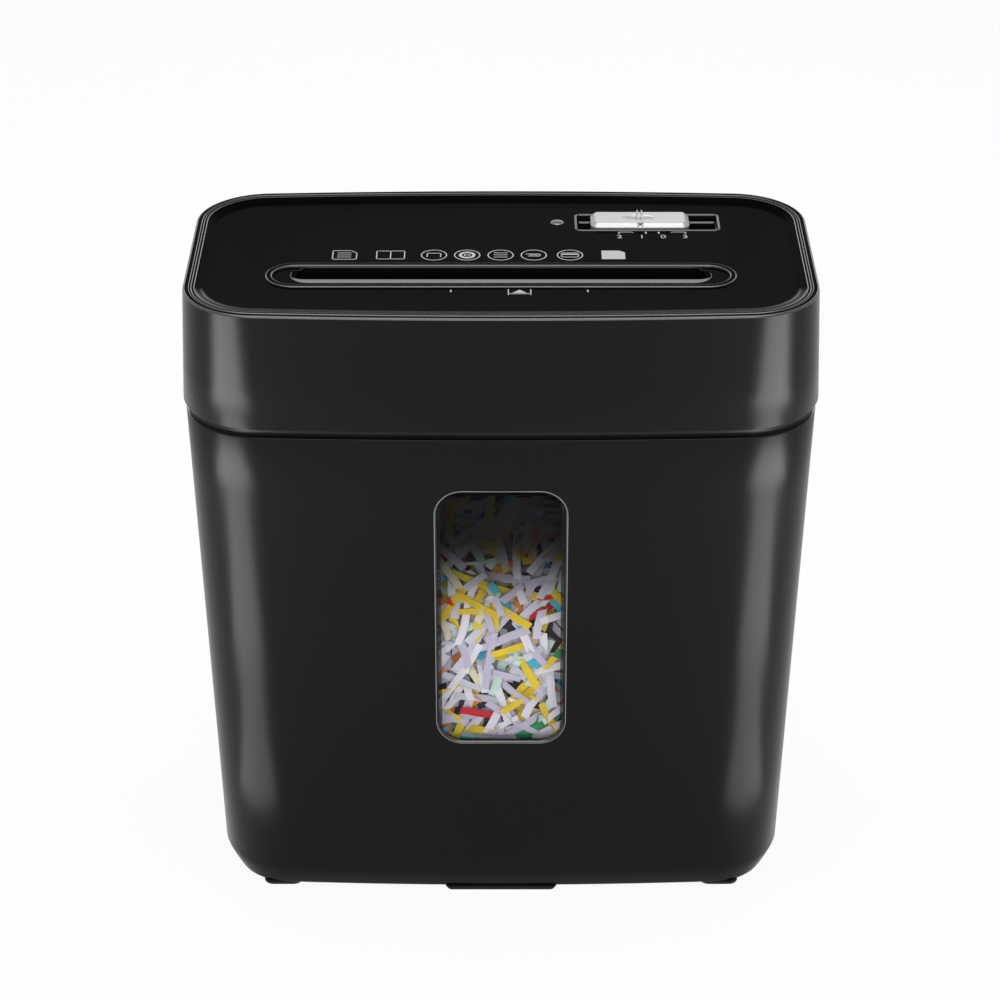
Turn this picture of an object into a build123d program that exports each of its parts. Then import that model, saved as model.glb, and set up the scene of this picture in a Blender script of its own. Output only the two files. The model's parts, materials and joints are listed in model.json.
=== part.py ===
"""Paper shredder: a cutting head that sits on a tapered bin with a window.

Millimetres. Origin at the middle of the footprint on the floor, +Z up, the front faces -Y.
"""

import os
from math import acos, atan2, cos, degrees, hypot, pi, radians, sin, sqrt, tan

from build123d import *

os.makedirs("parts", exist_ok=True)

# ---------------------------------------------------------------- driving dimensions
# bin
bin_top = 274.2  # height of the bin's rim
bin_width = 315.0  # at the rim
bin_depth = 163.4
bin_corner = 39.5
bin_taper = 1.94  # degrees, every wall leans in towards the floor
bin_crown = 4.8  # how far the long sides bow out
bin_wall = 2.5
floor_rise = 1.8  # underside of the bin above the ground
skirt_top = 13.0  # the walls turn in below this height
skirt_inset_x = 8.2
skirt_inset_y = 2.8
skirt_corner = 27.0
skirt_curve = 1.34  # exponent of the inward turn
skirt_rise = 5.0  # height of the middle outline of the turn above its foot
hollow_drop = 0.6  # the hollow is drawn in this much more at the floor

# window
window_width = 64.0
window_height = 147.6
window_middle = 170.3  # height of its centre
window_corner = 11.0
pane_fit = 0.2  # gap round the pane
pane_recess = 0.6
pane_flange = 5.0
pane_thickness = 1.5

# feet
foot_length = 20.4
foot_depth = 16.0
foot_corner = 5.0
foot_inset_x = 41.1  # of a foot's middle from the bin's rim
foot_inset_y = 23.7
front_foot_width = 59.0
front_foot_inset = 10.7  # of its front edge from the bin's rim
front_foot_depth = 12.0
front_foot_corner = 2.0

# shreds
shreds_gap = 0.8  # between shreds and the pane's flange
shreds_drop = 34.2  # of the pile at the front wall below the bin's rim
shreds_slope = 0.98  # fall per length towards the rear

# head
band_height = 7.0  # of the dark band between bin and head
head_height = 57.8
head_overhang_x = 1.5  # of its bottom edge beyond the bin's rim
head_overhang_y = 1.55
head_corner = 42.8
rim_lean_x = 2.5  # its top lies this far inside its bottom edge
rim_lean_y = 2.55
rim_corner = 36.8
head_crown = 5.2
head_wall = 2.5
rim_round = 1.2
ledge_thickness = 2.5
ledge_reach = 9.0

# lower cover
cover_floor = 3.0
band_inset = 1.0  # the lip lies this far inside the bin's rim
band_flare = 0.5  # and this far outside it where it meets the head
band_wall = 4.0
locator_gap = 0.6
locator_wall = 1.6
locator_drop = 8.2
well_wall = 2.0
well_drop = 36.0  # of the wells below the shafts
well_left_gap = 5.5  # from the gearbox cover to the left end of the well
well_right_gap = 13.0  # from the sync gears' inner face to the right end of the well
well_reach = 46.0  # of the cutters' well on each side of the nip
gear_well_overlap = 4.0  # of the gear well on the room between the plates
gear_well_gap = 6.0  # behind the left plate
well_corner = 18.0
outlet_reach = 28.0  # on each side of the nip

# top panel
panel_gap = 0.3
panel_inset = 3.3  # rim of the head shell round the panel
panel_drop = 1.8  # of the flat below the head's top
panel_edge_drop = 0.1
panel_thickness = 2.8
panel_rim = 2.3
dish_run_x = 5.0
dish_run_y = 8.0

# slot
slot_offset = 4.75  # of the bezel in front of the nip
bezel_border = 5.0  # of the bezel beyond each end of its mouth
bezel_width = 31.5
bezel_rise = 0.9
bezel_seat = 3.0  # overlap of the bezel's flange on the panel
bezel_fit = 0.2
mouth_border = 2.0  # of the mouth beyond each end of the throat
mouth_width = 18.1
mouth_offset = 4.05  # of the mouth in front of the nip
mouth_depth = 1.6
throat_end = 3.0  # between a side plate and the end of the throat
throat_width = 6.0
throat_drop = 21.2  # below the flat
throat_wall = 2.0
shoulder_drop = 8.0
bezel_skirt = 4.0  # the body reaches this far below the shoulder
mouth_edge = 0.3
shoulder_edge = 1.0
shoulder_fall = 0.6

# mode switch
tray_middle_x = 75.15
tray_setback = 38.75  # of its middle from the head's rear rim
tray_length = 74.7
tray_width = 21.9
tray_corner = 3.0
tray_lip = 0.8
tray_lip_rise = 0.4
tray_wall = 0.6
tray_depth = 4.2
tray_floor = 2.0
tray_fit = 0.15
knob_middle_x = 71.35
knob_length = 50.5
knob_gap = 0.35
knob_lift = 0.3
knob_rise = 3.0
knob_bevel = 2.0
knob_slope = 2.4  # height over which the bevel runs
knob_corner = 1.2
ridge_width = 3.4
ridge_rise = 1.0
dimple_length = 18.4
dimple_depth = 0.8
slide_forward = 6.6  # travel from AUTO towards FWD
slide_reverse = 13.2  # and towards REV
stem_length = 5.0
stem_width = 4.0
stem_gap = 0.4
stem_drop = 8.8
switch_length = 38.0
switch_width = 14.0
switch_height = 10.5
switch_corner = 1.0
switch_pins = (-12.0, -4.0, 4.0, 12.0)
switch_pin = (2.0, 0.8, 5.0)  # width, thickness and length

# indicator
lens_x = 28.9
lens_setback = 38.7  # from the head's rear rim
lens_radius = 3.4
lens_fit = 0.1
lamp_radius = 2.5
lens_rise = 0.3
lens_round = 0.25
lens_flange = 1.5
lens_flange_drop = 1.2
lamp_height = 5.0
lamp_rim = 0.4
lamp_leg = 0.3
lamp_leg_reach = 1.27
lamp_leg_length = 8.0

# cutting block
nip_y = -20.0
shaft_spacing = 34.0
shaft_drop = 4.2  # of the shafts below the bin's rim
disc_radius = 18.5
disc_thickness = 3.8
disc_pitch = 8.0
disc_clearance = 9.0  # at least this much between the last disc's middle and a side plate
hook_count = 4
hook_depth = 2.4
hook_length = 6.24
hook_angle = 80.0
hook_turn = 11.0  # degrees between neighbouring discs
hex_flats = 12.0
hex_fit = 0.1
spacer_radius = 12.0
journal_radius = 5.0
journal_fit = 0.05
bush_radius = 8.0
bush_flange = 10.0
bush_flange_thickness = 1.4
thrust_gap = 1.0  # between a bush and what turns beside it
shaft_step = 0.5  # play between the hexagon and the side plates
plate_inset = 44.5  # of a side plate's inner face from the bin's rim
plate_thickness = 2.0
plate_front_reach = 38.0  # of both plates in front of the nip
right_plate_reach = 42.0  # behind the nip
left_plate_reach = 18.0  # behind the motor
plate_step = 8.0  # the left plate is this much shorter inside the well
right_plate_rise = 30.0  # above the shafts
left_plate_rise = 52.0
plate_foot = 12.0
foot_front_reach = 32.0  # of a plate's foot in front of the nip
foot_back_reach = 34.0
foot_screw_inset = 6.0
rod_radius = 3.0
rod_reach = 34.0  # on each side of the nip
rod_rise = 22.0  # upper rods above the shafts
rod_drop = 24.0  # and lower rods below them
rod_thread = 12.0
rod_bolt_radius = 1.9
rod_head_radius = 3.5
rod_head_height = 2.4
comb_gap = 1.6
comb_bar = 5.0
comb_height = 16.0
finger_height = 8.0
finger_gap = 0.4
finger_tip_gap = 0.7
guide_rise = 20.0  # above the shafts
guide_wall = 2.0

# drive
gear_pressure = 25.0  # degrees
gear_backlash = 0.10
module_first = 0.8
module_second = 1.25
module_drive = 1.5
module_sync = 2.0
teeth_motor = 12
teeth_first_large = 54
teeth_first_small = 12
teeth_second_large = 40
teeth_second_small = 14
teeth_drive = 42
teeth_sync = 17
second_gear_angle = 10.0  # degrees above level, seen from the rear shaft
motor_setback = 66.0  # behind the nip
motor_rise = 32.0  # above the shafts
motor_radius = 23.0
motor_length = 65.0
motor_wall = 1.2
magnet_thickness = 4.0
air_gap = 0.8
motor_shaft_radius = 2.0
motor_cap_length = 10.0
motor_cap_wall = 4.0
motor_end_wall = 2.0
motor_screw_reach = 15.0
motor_screw_head = 3.0
motor_screw_cap = 1.8
motor_nose_hole = 7.0
magnet_inset = 10.0
core_inset = 12.0
core_slots = 12
core_slot = (4.0, 2.0)
commutator_radius = 7.0
cutout_x = -85.0
cutout_size = (16.0, 10.0, 5.0)
cutout_leg = 4.0
cutout_leg_x = 5.0
lug_length = 7.0
lug_reach = 12.0
lug_thickness = 0.8
lug_width = 6.0
pin_radius = 3.0
pin_fit = 0.05
hub_wall = 2.0
layer_gap = 3.0  # between the side plate and the first gear layer
layer_pitch = 7.0  # from each gear layer to the next
first_face = 6.0
pinion_overhang = 0.5
end_play = 0.6
second_face = 5.5
drive_face = 7.5
cover_gap = 9.0  # from the last gear layer's inner face to the cover
gearbox_cover_thickness = 2.0
cover_reach = 13.0  # of the cover's edge beyond the gear axes
cover_corner = 5.0
standoff_inset = 3.0
standoff_radius = 2.5
sync_face = 8.0

# fasteners and bosses
case_screw_inset_x = 62.5  # from the bin's rim
case_screw_inset_y = 10.7
boss_radius = 4.0
boss_height = 9.8  # above the head's bottom edge
boss_rib = 2.0
boss_rib_bite = 1.0  # reach of the rib into the wall
boss_cap = 3.0  # solid above the screw hole
case_screw_radius = 1.5
case_screw_head = 3.0
case_screw_cap = 2.0
screw_end_gap = 1.0
driver_slot = 0.8
screw_fit = 0.1

# board
board_x = 67.0
board_setback = 34.7  # of its middle from the bin's rear rim
board_length = 74.0
board_width = 34.0
board_thickness = 1.6
board_post = 8.0
board_inset = 4.0
board_post_radius = 3.0
board_pilot = 1.2
board_hole = 1.5
board_screw = (2.6, 1.6)  # radius and height of the head
board_screw_radius = 1.1
board_screw_length = 7.0
terminal_ways = (-7.5, -2.5, 2.5, 7.5)
terminal_way = (1.8, 3.0)  # radius and depth
capacitor = (5.0, 16.0)  # radius and height
capacitor_at = (-1.0, 3.0)  # from the board's middle
relay_at = (-23.0, 3.0)
filter_at = (21.0, 8.0)
terminal_at = (17.0, -9.0)

# interlock
tab_x = 60.0
tab_width = 12.0
tab_inset = 8.5  # from the bin's rear rim
tab_thickness = 2.0
tab_rise = 9.8  # above the bin's rim
tab_drop = 22.2  # and below it
tab_web = 4.0
tab_web_drop = 10.2
tab_gap = 0.7
plunger_travel = 2.0
plunger_gap = 0.3
plunger_width = 6.0
plunger_head = 9.0
plunger_length = 10.0
plunger_fit = 0.3
switch_half = 11.0
switch_front = 3.2  # from the plunger to the front of its case
switch_lift = 3.0  # case above the plunger's foot
switch_cap = 4.0
switch_gap = 0.3

# cord gland
gland_inset = 57.5  # from the bin's right rim
gland_rise = 18.8  # above the head's bottom edge
gland_bore = 3.7
gland_radius = 6.0
gland_flange = 8.0
gland_flange_thickness = 1.2
gland_lift = 0.75  # the flanges clear the leaning wall by this at its middle
gland_fit = 0.1

# paper sensor
sensor_setback = 14.0  # behind the nip
sensor_drop = 10.0  # below the throat
sensor_width = 3.0
sensor_side_gap = 2.0
sensor_pin = 1.5
sensor_fit = 0.05
sensor_boss = 1.5  # wall round the pin
sensor_dip = 6.0  # tip below the pin
sensor_entry = 2.0  # reach of the tip into the throat
ear_gap = 0.4
ear_thickness = 2.0
ear_half = 4.0
strap_thickness = 1.5


# ---------------------------------------------------------------- sizes that follow
foot_x = bin_width / 2 - foot_inset_x
foot_y = bin_depth / 2 - foot_inset_y
front_foot_reach = bin_depth / 2 - front_foot_inset
head_width = bin_width + 2 * head_overhang_x
head_depth = bin_depth + 2 * head_overhang_y
rim_width = head_width - 2 * rim_lean_x
rim_depth = head_depth - 2 * rim_lean_y
head_bottom = bin_top + band_height
head_top = head_bottom + head_height
panel_flat = head_top - panel_drop
panel_edge = head_top - panel_edge_drop
throat_bottom = panel_flat - throat_drop
slot_middle = nip_y - slot_offset
mouth_middle = nip_y - mouth_offset
tray_middle_y = rim_depth / 2 - tray_setback
lens_y = rim_depth / 2 - lens_setback
shreds_front = bin_top - shreds_drop
shaft_z = bin_top - shaft_drop
motor_y = nip_y + motor_setback
motor_z = shaft_z + motor_rise
plate_inside = bin_width / 2 - plate_inset
plate_front = nip_y - plate_front_reach
right_plate_back = nip_y + right_plate_reach
left_plate_back = motor_y + left_plate_reach
right_plate_top = shaft_z + right_plate_rise
left_plate_top = shaft_z + left_plate_rise
plate_foot_front = nip_y - foot_front_reach
plate_foot_back = nip_y + foot_back_reach
rod_front = nip_y - rod_reach
rod_back = nip_y + rod_reach
guide_bottom = shaft_z + guide_rise
throat_length = 2 * (plate_inside - throat_end)
mouth_length = throat_length + 2 * mouth_border
bezel_length = mouth_length + 2 * bezel_border
rear_discs = 2 * int((plate_inside - disc_clearance) / disc_pitch) + 1
layer_one = plate_inside + plate_thickness + layer_gap
layer_two = layer_one + layer_pitch
layer_three = layer_two + layer_pitch
gearbox_cover_at = layer_three + cover_gap
well_left = -gearbox_cover_at - well_left_gap
well_right = layer_one + well_right_gap
gear_well_right = gear_well_overlap - plate_inside
well_bottom = shaft_z - well_drop
well_front = nip_y - well_reach
well_back = nip_y + well_reach
gear_well_back = left_plate_back + gear_well_gap
outlet_front = nip_y - outlet_reach
outlet_back = nip_y + outlet_reach
boss_top = head_bottom + boss_height
tab_top = bin_top + tab_rise
tab_bottom = bin_top - tab_drop
tab_web_top = bin_top - tab_web_drop
gland_z = head_bottom + gland_rise
sensor_y = nip_y + sensor_setback
sensor_z = throat_bottom - sensor_drop
case_screw_x = bin_width / 2 - case_screw_inset_x
case_screw_y = bin_depth / 2 - case_screw_inset_y
board_y = bin_depth / 2 - board_setback
tab_y = bin_depth / 2 - tab_inset
gland_x = bin_width / 2 - gland_inset


# ---------------------------------------------------------------- shared shapes
def bowed_outline(z, width, depth, corner, crown):
    """Rounded rectangle at height z whose long sides bow outwards."""
    x, y = width / 2, depth / 2
    with BuildSketch(Plane.XY.offset(z)) as outline:
        with BuildLine():
            ThreePointArc((-x, crown - y), (0, -y), (x, crown - y))
            Line((x, crown - y), (x, y - crown))
            ThreePointArc((x, y - crown), (0, y), (-x, y - crown))
            Line((-x, y - crown), (-x, crown - y))
        make_face()
        fillet(outline.vertices(), corner)
    return outline.sketch


def bin_outline(z, inset=0.0):
    """The bin's outer wall at height z, drawn in by inset."""
    lean = (bin_top - z) * tan(radians(bin_taper)) + inset
    return bowed_outline(z, bin_width - 2 * lean, bin_depth - 2 * lean, bin_corner - inset,
                         bin_crown)


def skirt_outline(z, inset=0.0, drop=0.0):
    """The bin's wall below skirt_top, where it turns in, drawn in by inset and drop."""
    share = ((skirt_top - z) / (skirt_top - floor_rise)) ** skirt_curve
    lean = (bin_top - z) * tan(radians(bin_taper)) + inset + drop
    return bowed_outline(z, bin_width - 2 * (lean + skirt_inset_x * share),
                         bin_depth - 2 * (lean + skirt_inset_y * share),
                         bin_corner + (skirt_corner - bin_corner) * share - inset, bin_crown)


def rim_outline(z, inset=0.0):
    """The bin's rim as a straight outline at height z, drawn in by inset."""
    return bowed_outline(z, bin_width - 2 * inset, bin_depth - 2 * inset, bin_corner - inset,
                         bin_crown)


def head_outline(z, inset=0.0):
    """The head's outer wall at height z, drawn in by inset."""
    share = (z - head_bottom) / (head_top - head_bottom)
    width = head_width + (rim_width - head_width) * share - 2 * inset
    depth = head_depth + (rim_depth - head_depth) * share - 2 * inset
    corner = head_corner + (rim_corner - head_corner) * share - inset
    return bowed_outline(z, width, depth, corner, head_crown)


def head_half_depth(x, z):
    """Distance from the middle to the head's long outer wall at x and z."""
    share = (z - head_bottom) / (head_top - head_bottom)
    depth = head_depth + (rim_depth - head_depth) * share
    width = head_width + (rim_width - head_width) * share
    return depth / 2 - head_crown * (2 * x / width) ** 2


def panel_outline(z, inset_x, inset_y):
    """An outline inside the head's rim at height z."""
    return bowed_outline(z, rim_width - 2 * inset_x, rim_depth - 2 * inset_y,
                         rim_corner - inset_x, head_crown)


def bin_block(inset, bottom, top, mode):
    """Solid bounded by the bin's drafted wall drawn in by inset."""
    loft([bin_outline(bottom, inset), bin_outline(top, inset)], ruled=True, mode=mode)


def prism(width, depth, corner, x, y, bottom, top, mode=Mode.ADD):
    """Upright block with rounded vertical corners between two heights."""
    with BuildSketch(Plane.XY.offset(bottom)) as base:
        with Locations((x, y)):
            if corner > 0:
                RectangleRounded(width, depth, corner)
            else:
                Rectangle(width, depth)
    extrude(base.sketch, amount=top - bottom, mode=mode)


def block(x0, x1, y0, y1, z0, z1, mode=Mode.ADD):
    """Plain block between two corners."""
    prism(x1 - x0, y1 - y0, 0, (x0 + x1) / 2, (y0 + y1) / 2, z0, z1, mode)


def across(x, y=0.0, z=0.0):
    """Plane facing +X at a point, with Y and Z as its own axes."""
    return Plane(origin=(x, y, z), x_dir=(0, 1, 0), z_dir=(1, 0, 0))


def rod(x0, x1, radius, y, z, mode=Mode.ADD):
    """Round bar along X from x0 to x1."""
    with BuildSketch(across(x0, y, z)) as base:
        Circle(radius)
    extrude(base.sketch, amount=x1 - x0, mode=mode)


def post(radius, x, y, bottom, top, mode=Mode.ADD):
    """Round upright bar."""
    with BuildSketch(Plane.XY.offset(bottom)) as base:
        with Locations((x, y)):
            Circle(radius)
    extrude(base.sketch, amount=top - bottom, mode=mode)


def involute(angle):
    """Involute function of a pressure angle in radians."""
    return tan(angle) - angle


def gear_points(teeth, module, phase):
    """Outline of a spur gear with one tooth centred on phase degrees."""
    pitch = teeth * module / 2
    base = pitch * cos(radians(gear_pressure))
    tip = pitch + module
    root = pitch - 1.25 * module
    half = pi / (2 * teeth) - gear_backlash / (2 * pitch) + involute(radians(gear_pressure))
    start = max(base, root)
    flank = [start + (tip - start) * share for share in (0.0, 0.25, 0.6, 1.0)]
    points = []
    for tooth in range(teeth):
        middle = radians(phase) + 2 * pi * tooth / teeth
        side = [(r, half - involute(acos(min(1.0, base / r)))) for r in flank]
        if root < base:
            side.insert(0, (root, side[0][1]))
        for r, a in side:
            points.append((r * cos(middle - a), r * sin(middle - a)))
        for r, a in reversed(side):
            points.append((r * cos(middle + a), r * sin(middle + a)))
    return points


def gear(teeth, module, phase, x0, x1, y, z):
    """Spur gear about an axis along X."""
    points = gear_points(teeth, module, phase)
    with BuildSketch(across(x0, y, z)) as outline:
        with BuildLine():
            Polyline(*points, close=True)
        make_face()
    extrude(outline.sketch, amount=x1 - x0)


def meshed_phase(phase, teeth, other_teeth, from_axis, to_axis):
    """Phase in degrees of the second gear so that it meshes with the first."""
    bearing = degrees(atan2(to_axis[1] - from_axis[1], to_axis[0] - from_axis[0]))
    share = (bearing - phase) * teeth / 360
    return bearing + 180 - 360 / other_teeth * (0.5 - share)


def save(part, name):
    """Label a finished piece and write its file."""
    part.part.label = name
    export_step(part.part, f"parts/{name}.step")


# ---------------------------------------------------------------- bin
skirt_levels = [floor_rise, floor_rise + skirt_rise, skirt_top]
pane_width = window_width - 2 * pane_fit
pane_height = window_height - 2 * pane_fit
pane_corner = window_corner - pane_fit
cavity_floor = floor_rise + bin_wall

with BuildPart() as bin_shell:
    loft([skirt_outline(level) for level in skirt_levels], ruled=True)
    bin_block(0.0, skirt_top, bin_top, Mode.ADD)
    loft([skirt_outline(cavity_floor, bin_wall, hollow_drop), skirt_outline(skirt_top, bin_wall)],
         ruled=True, mode=Mode.SUBTRACT)
    bin_block(bin_wall, skirt_top, bin_top, Mode.SUBTRACT)
    with BuildSketch(Plane.XZ):
        with Locations((0, window_middle)):
            RectangleRounded(window_width, window_height, window_corner)
    extrude(amount=bin_depth, mode=Mode.SUBTRACT)
    # tab that presses the interlock when the head is on
    block(tab_x - tab_width / 2, tab_x + tab_width / 2, tab_y - tab_thickness / 2,
          tab_y + tab_thickness / 2, tab_bottom, tab_top)
    block(tab_x - tab_web / 2, tab_x + tab_web / 2, tab_y, bin_depth / 2 - bin_wall, tab_bottom,
          tab_web_top)
save(bin_shell, "bin_shell")

with BuildPart() as window_pane:
    with BuildSketch(Plane.XZ):
        with Locations((0, window_middle)):
            RectangleRounded(window_width + 2 * pane_flange, window_height + 2 * pane_flange,
                             window_corner + pane_flange)
    extrude(amount=bin_depth)
    bin_block(bin_wall, skirt_top, bin_top, Mode.INTERSECT)
    with BuildSketch(Plane.XZ.offset(bin_depth / 4)):
        with Locations((0, window_middle)):
            RectangleRounded(pane_width, pane_height, pane_corner)
    extrude(amount=bin_depth / 2)
    bin_block(pane_recess, skirt_top, bin_top, Mode.INTERSECT)
    bin_block(bin_wall + pane_thickness, skirt_top, bin_top, Mode.SUBTRACT)
save(window_pane, "window_pane")

with BuildPart() as corner_feet:
    for x in (-foot_x, foot_x):
        for y in (-foot_y, foot_y):
            prism(foot_length, foot_depth, foot_corner, x, y, 0.0, floor_rise)
save(corner_feet, "corner_feet")

with BuildPart() as front_foot:
    prism(front_foot_width, front_foot_depth, front_foot_corner, 0,
          front_foot_depth / 2 - front_foot_reach, 0.0, floor_rise)
save(front_foot, "front_foot")

shreds_inset = bin_wall + pane_thickness + shreds_gap
shreds_deep = bin_depth / 2
with BuildPart() as paper_shreds:
    loft([skirt_outline(cavity_floor, shreds_inset, hollow_drop),
          skirt_outline(skirt_top, shreds_inset)], ruled=True)
    bin_block(shreds_inset, skirt_top, bin_top, Mode.ADD)
    shreds_back = shreds_front - shreds_slope * 2 * shreds_deep
    with BuildSketch(Plane.YZ.offset(-bin_width / 2)):
        with BuildLine():
            Polyline((-shreds_deep, cavity_floor), (shreds_deep, cavity_floor),
                     (shreds_deep, shreds_back), (-shreds_deep, shreds_front), close=True)
        make_face()
    extrude(amount=bin_width, mode=Mode.INTERSECT)
save(paper_shreds, "paper_shreds")

# ---------------------------------------------------------------- head casing
pocket_floor = panel_flat - panel_thickness
ledge_bottom = pocket_floor - ledge_thickness
floor_bottom = bin_top
floor_top = floor_bottom + cover_floor
gland_wall = head_half_depth(gland_x, gland_z)
boss_wall = head_half_depth(case_screw_x, boss_top) - head_wall + boss_rib_bite

with BuildPart() as head_shell:
    rim = ((head_bottom, 0.0), (head_top - 1.8 * rim_round, 0.0),
           (head_top - 0.6 * rim_round, 0.3 * rim_round), (head_top, rim_round))
    loft([head_outline(level, inset) for level, inset in rim], ruled=True)
    for bottom, top, inset in ((head_bottom, ledge_bottom, head_wall),
                               (ledge_bottom, pocket_floor, ledge_reach),
                               (pocket_floor, head_top, panel_inset)):
        loft([head_outline(bottom, inset), head_outline(top, inset)], ruled=True,
             mode=Mode.SUBTRACT)
    for x in (-case_screw_x, case_screw_x):
        for side in (-1, 1):
            y = side * case_screw_y
            wall = side * boss_wall
            post(boss_radius, x, y, floor_top, boss_top)
            block(x - boss_rib / 2, x + boss_rib / 2, min(y, wall), max(y, wall), head_bottom, boss_top)
            post(case_screw_radius + screw_fit, x, y, floor_top, boss_top - boss_cap, Mode.SUBTRACT)
    with BuildSketch(Plane.XZ):
        with Locations((gland_x, gland_z)):
            Circle(gland_radius)
    extrude(amount=-head_depth, mode=Mode.SUBTRACT)
save(head_shell, "head_shell")

with BuildPart() as cord_gland:
    outside = gland_wall + gland_lift
    inside = gland_wall - head_wall - gland_lift
    for near, far, radius in ((inside - gland_flange_thickness, inside, gland_flange),
                              (inside, outside, gland_radius - gland_fit),
                              (outside, outside + gland_flange_thickness, gland_flange)):
        with BuildSketch(Plane.XZ.offset(-near)):
            with Locations((gland_x, gland_z)):
                Circle(radius)
        extrude(amount=near - far)
    with BuildSketch(Plane.XZ):
        with Locations((gland_x, gland_z)):
            Circle(gland_bore)
    extrude(amount=-head_depth, mode=Mode.SUBTRACT)
save(cord_gland, "cord_gland")

band_bend = (floor_bottom + head_bottom) / 2
slot_x = tab_width + 2 * tab_gap
slot_y = tab_thickness + 2 * tab_gap
with BuildPart() as head_base:
    loft([rim_outline(floor_bottom, band_inset), rim_outline(band_bend, band_inset),
          rim_outline(head_bottom, -band_flare)], ruled=True)
    extrude(rim_outline(floor_top, band_wall), amount=head_bottom - floor_top,
            mode=Mode.SUBTRACT)
    bin_block(bin_wall + locator_gap, bin_top - locator_drop, floor_bottom, Mode.ADD)
    bin_block(bin_wall + locator_gap + locator_wall, bin_top - locator_drop, floor_bottom,
              Mode.SUBTRACT)
    wells = ((well_left, well_right, well_front, well_back),
             (well_left, gear_well_right, well_front, gear_well_back))
    for thick, bottom, mode in ((0.0, well_bottom, Mode.ADD),
                                (well_wall, well_bottom + well_wall, Mode.SUBTRACT)):
        for x0, x1, y0, y1 in wells:
            prism(x1 - x0 - 2 * thick, y1 - y0 - 2 * thick, well_corner - thick,
                  (x0 + x1) / 2, (y0 + y1) / 2, bottom, floor_top, mode)
    block(-throat_length / 2, throat_length / 2, outlet_front, outlet_back,
          well_bottom, well_bottom + well_wall, Mode.SUBTRACT)
    block(tab_x - slot_x / 2, tab_x + slot_x / 2, tab_y - slot_y / 2, tab_y + slot_y / 2,
          floor_bottom, floor_top, Mode.SUBTRACT)
    for x in (-case_screw_x, case_screw_x):
        for y in (-case_screw_y, case_screw_y):
            post(case_screw_radius + screw_fit, x, y, floor_bottom, floor_top, Mode.SUBTRACT)
    foot_screw_x = plate_inside + plate_thickness + plate_foot / 2
    foot_screw_y = (plate_foot_front + foot_screw_inset, plate_foot_back - foot_screw_inset)
    for x in (-foot_screw_x, foot_screw_x):
        for y in foot_screw_y:
            post(rod_bolt_radius + screw_fit, x, y, well_bottom, well_bottom + well_wall,
                 Mode.SUBTRACT)
save(head_base, "head_base")

with BuildPart() as case_screws:
    for x in (-case_screw_x, case_screw_x):
        for y in (-case_screw_y, case_screw_y):
            head = floor_bottom - case_screw_cap
            post(case_screw_head, x, y, head, floor_bottom)
            post(case_screw_radius, x, y, floor_bottom, boss_top - boss_cap - screw_end_gap)
            block(x - 0.7 * case_screw_head, x + 0.7 * case_screw_head, y - driver_slot / 2,
                  y + driver_slot / 2, head, head + driver_slot, Mode.SUBTRACT)
save(case_screws, "case_screws")

# ---------------------------------------------------------------- top panel and slot
edge_inset = panel_inset + panel_gap
body_length = bezel_length - 2 * bezel_seat
body_width = bezel_width - 2 * bezel_seat
tray_body = (tray_length - 2 * tray_lip, tray_width - 2 * tray_lip)

with BuildPart() as top_panel:
    extrude(panel_outline(pocket_floor, edge_inset, edge_inset), amount=panel_edge - pocket_floor)
    dish = edge_inset + panel_rim
    loft([panel_outline(panel_flat, dish + dish_run_x, dish + dish_run_y),
          panel_outline(panel_edge, dish, dish)], ruled=True, mode=Mode.SUBTRACT)
    with BuildSketch(Plane.XY.offset(pocket_floor)):
        with Locations((0, slot_middle)):
            SlotOverall(body_length + 2 * bezel_fit, body_width + 2 * bezel_fit)
        with Locations((tray_middle_x, tray_middle_y)):
            RectangleRounded(tray_body[0] + 2 * tray_fit, tray_body[1] + 2 * tray_fit, tray_corner)
        with Locations((lens_x, lens_y)):
            Circle(lens_radius + lens_fit)
    extrude(amount=panel_thickness, mode=Mode.SUBTRACT)
save(top_panel, "top_panel")

bezel_top = panel_flat + bezel_rise
throat_back = nip_y + throat_width / 2
throat_front = nip_y - throat_width / 2
mouth_back = mouth_middle + mouth_width / 2
mouth_front = mouth_middle - mouth_width / 2
mouth_floor = bezel_top - mouth_depth
bend = shoulder_drop - mouth_depth - 1.5
bend_top = mouth_floor - shoulder_fall
with BuildPart() as slot_bezel:
    with BuildSketch(Plane.XY.offset(panel_flat)):
        with Locations((0, slot_middle)):
            SlotOverall(bezel_length, bezel_width)
    extrude(amount=bezel_rise)
    with BuildSketch(Plane.XY.offset(panel_flat)):
        with Locations((0, slot_middle)):
            SlotOverall(body_length, body_width)
    extrude(amount=-(shoulder_drop + bezel_skirt))
    throat_outer = throat_width + 2 * throat_wall
    block(-throat_length / 2 - throat_wall, throat_length / 2 + throat_wall,
          nip_y - throat_outer / 2, nip_y + throat_outer / 2, throat_bottom,
          pocket_floor - bezel_fit)
    with BuildSketch(Plane.XY.offset(mouth_floor)):
        with Locations((0, mouth_middle)):
            SlotOverall(mouth_length, mouth_width)
    extrude(amount=mouth_depth, mode=Mode.SUBTRACT)
    # throat with a steep back and a rounded front shoulder
    with BuildSketch(Plane.YZ.offset(-throat_length / 2)):
        with BuildLine():
            Line((throat_front, throat_bottom), (throat_back, throat_bottom))
            Line((throat_back, throat_bottom), (throat_back, bezel_top - shoulder_drop))
            Line((throat_back, bezel_top - shoulder_drop), (mouth_back - mouth_edge, mouth_floor))
            Line((mouth_back - mouth_edge, mouth_floor), (mouth_front + shoulder_edge, mouth_floor))
            Line((mouth_front + shoulder_edge, mouth_floor), (throat_front - bend, bend_top))
            RadiusArc((throat_front - bend, bend_top), (throat_front, bend_top - bend), bend)
            Line((throat_front, bend_top - bend), (throat_front, throat_bottom))
        make_face()
    extrude(amount=throat_length, mode=Mode.SUBTRACT)
save(slot_bezel, "slot_bezel")

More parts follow.
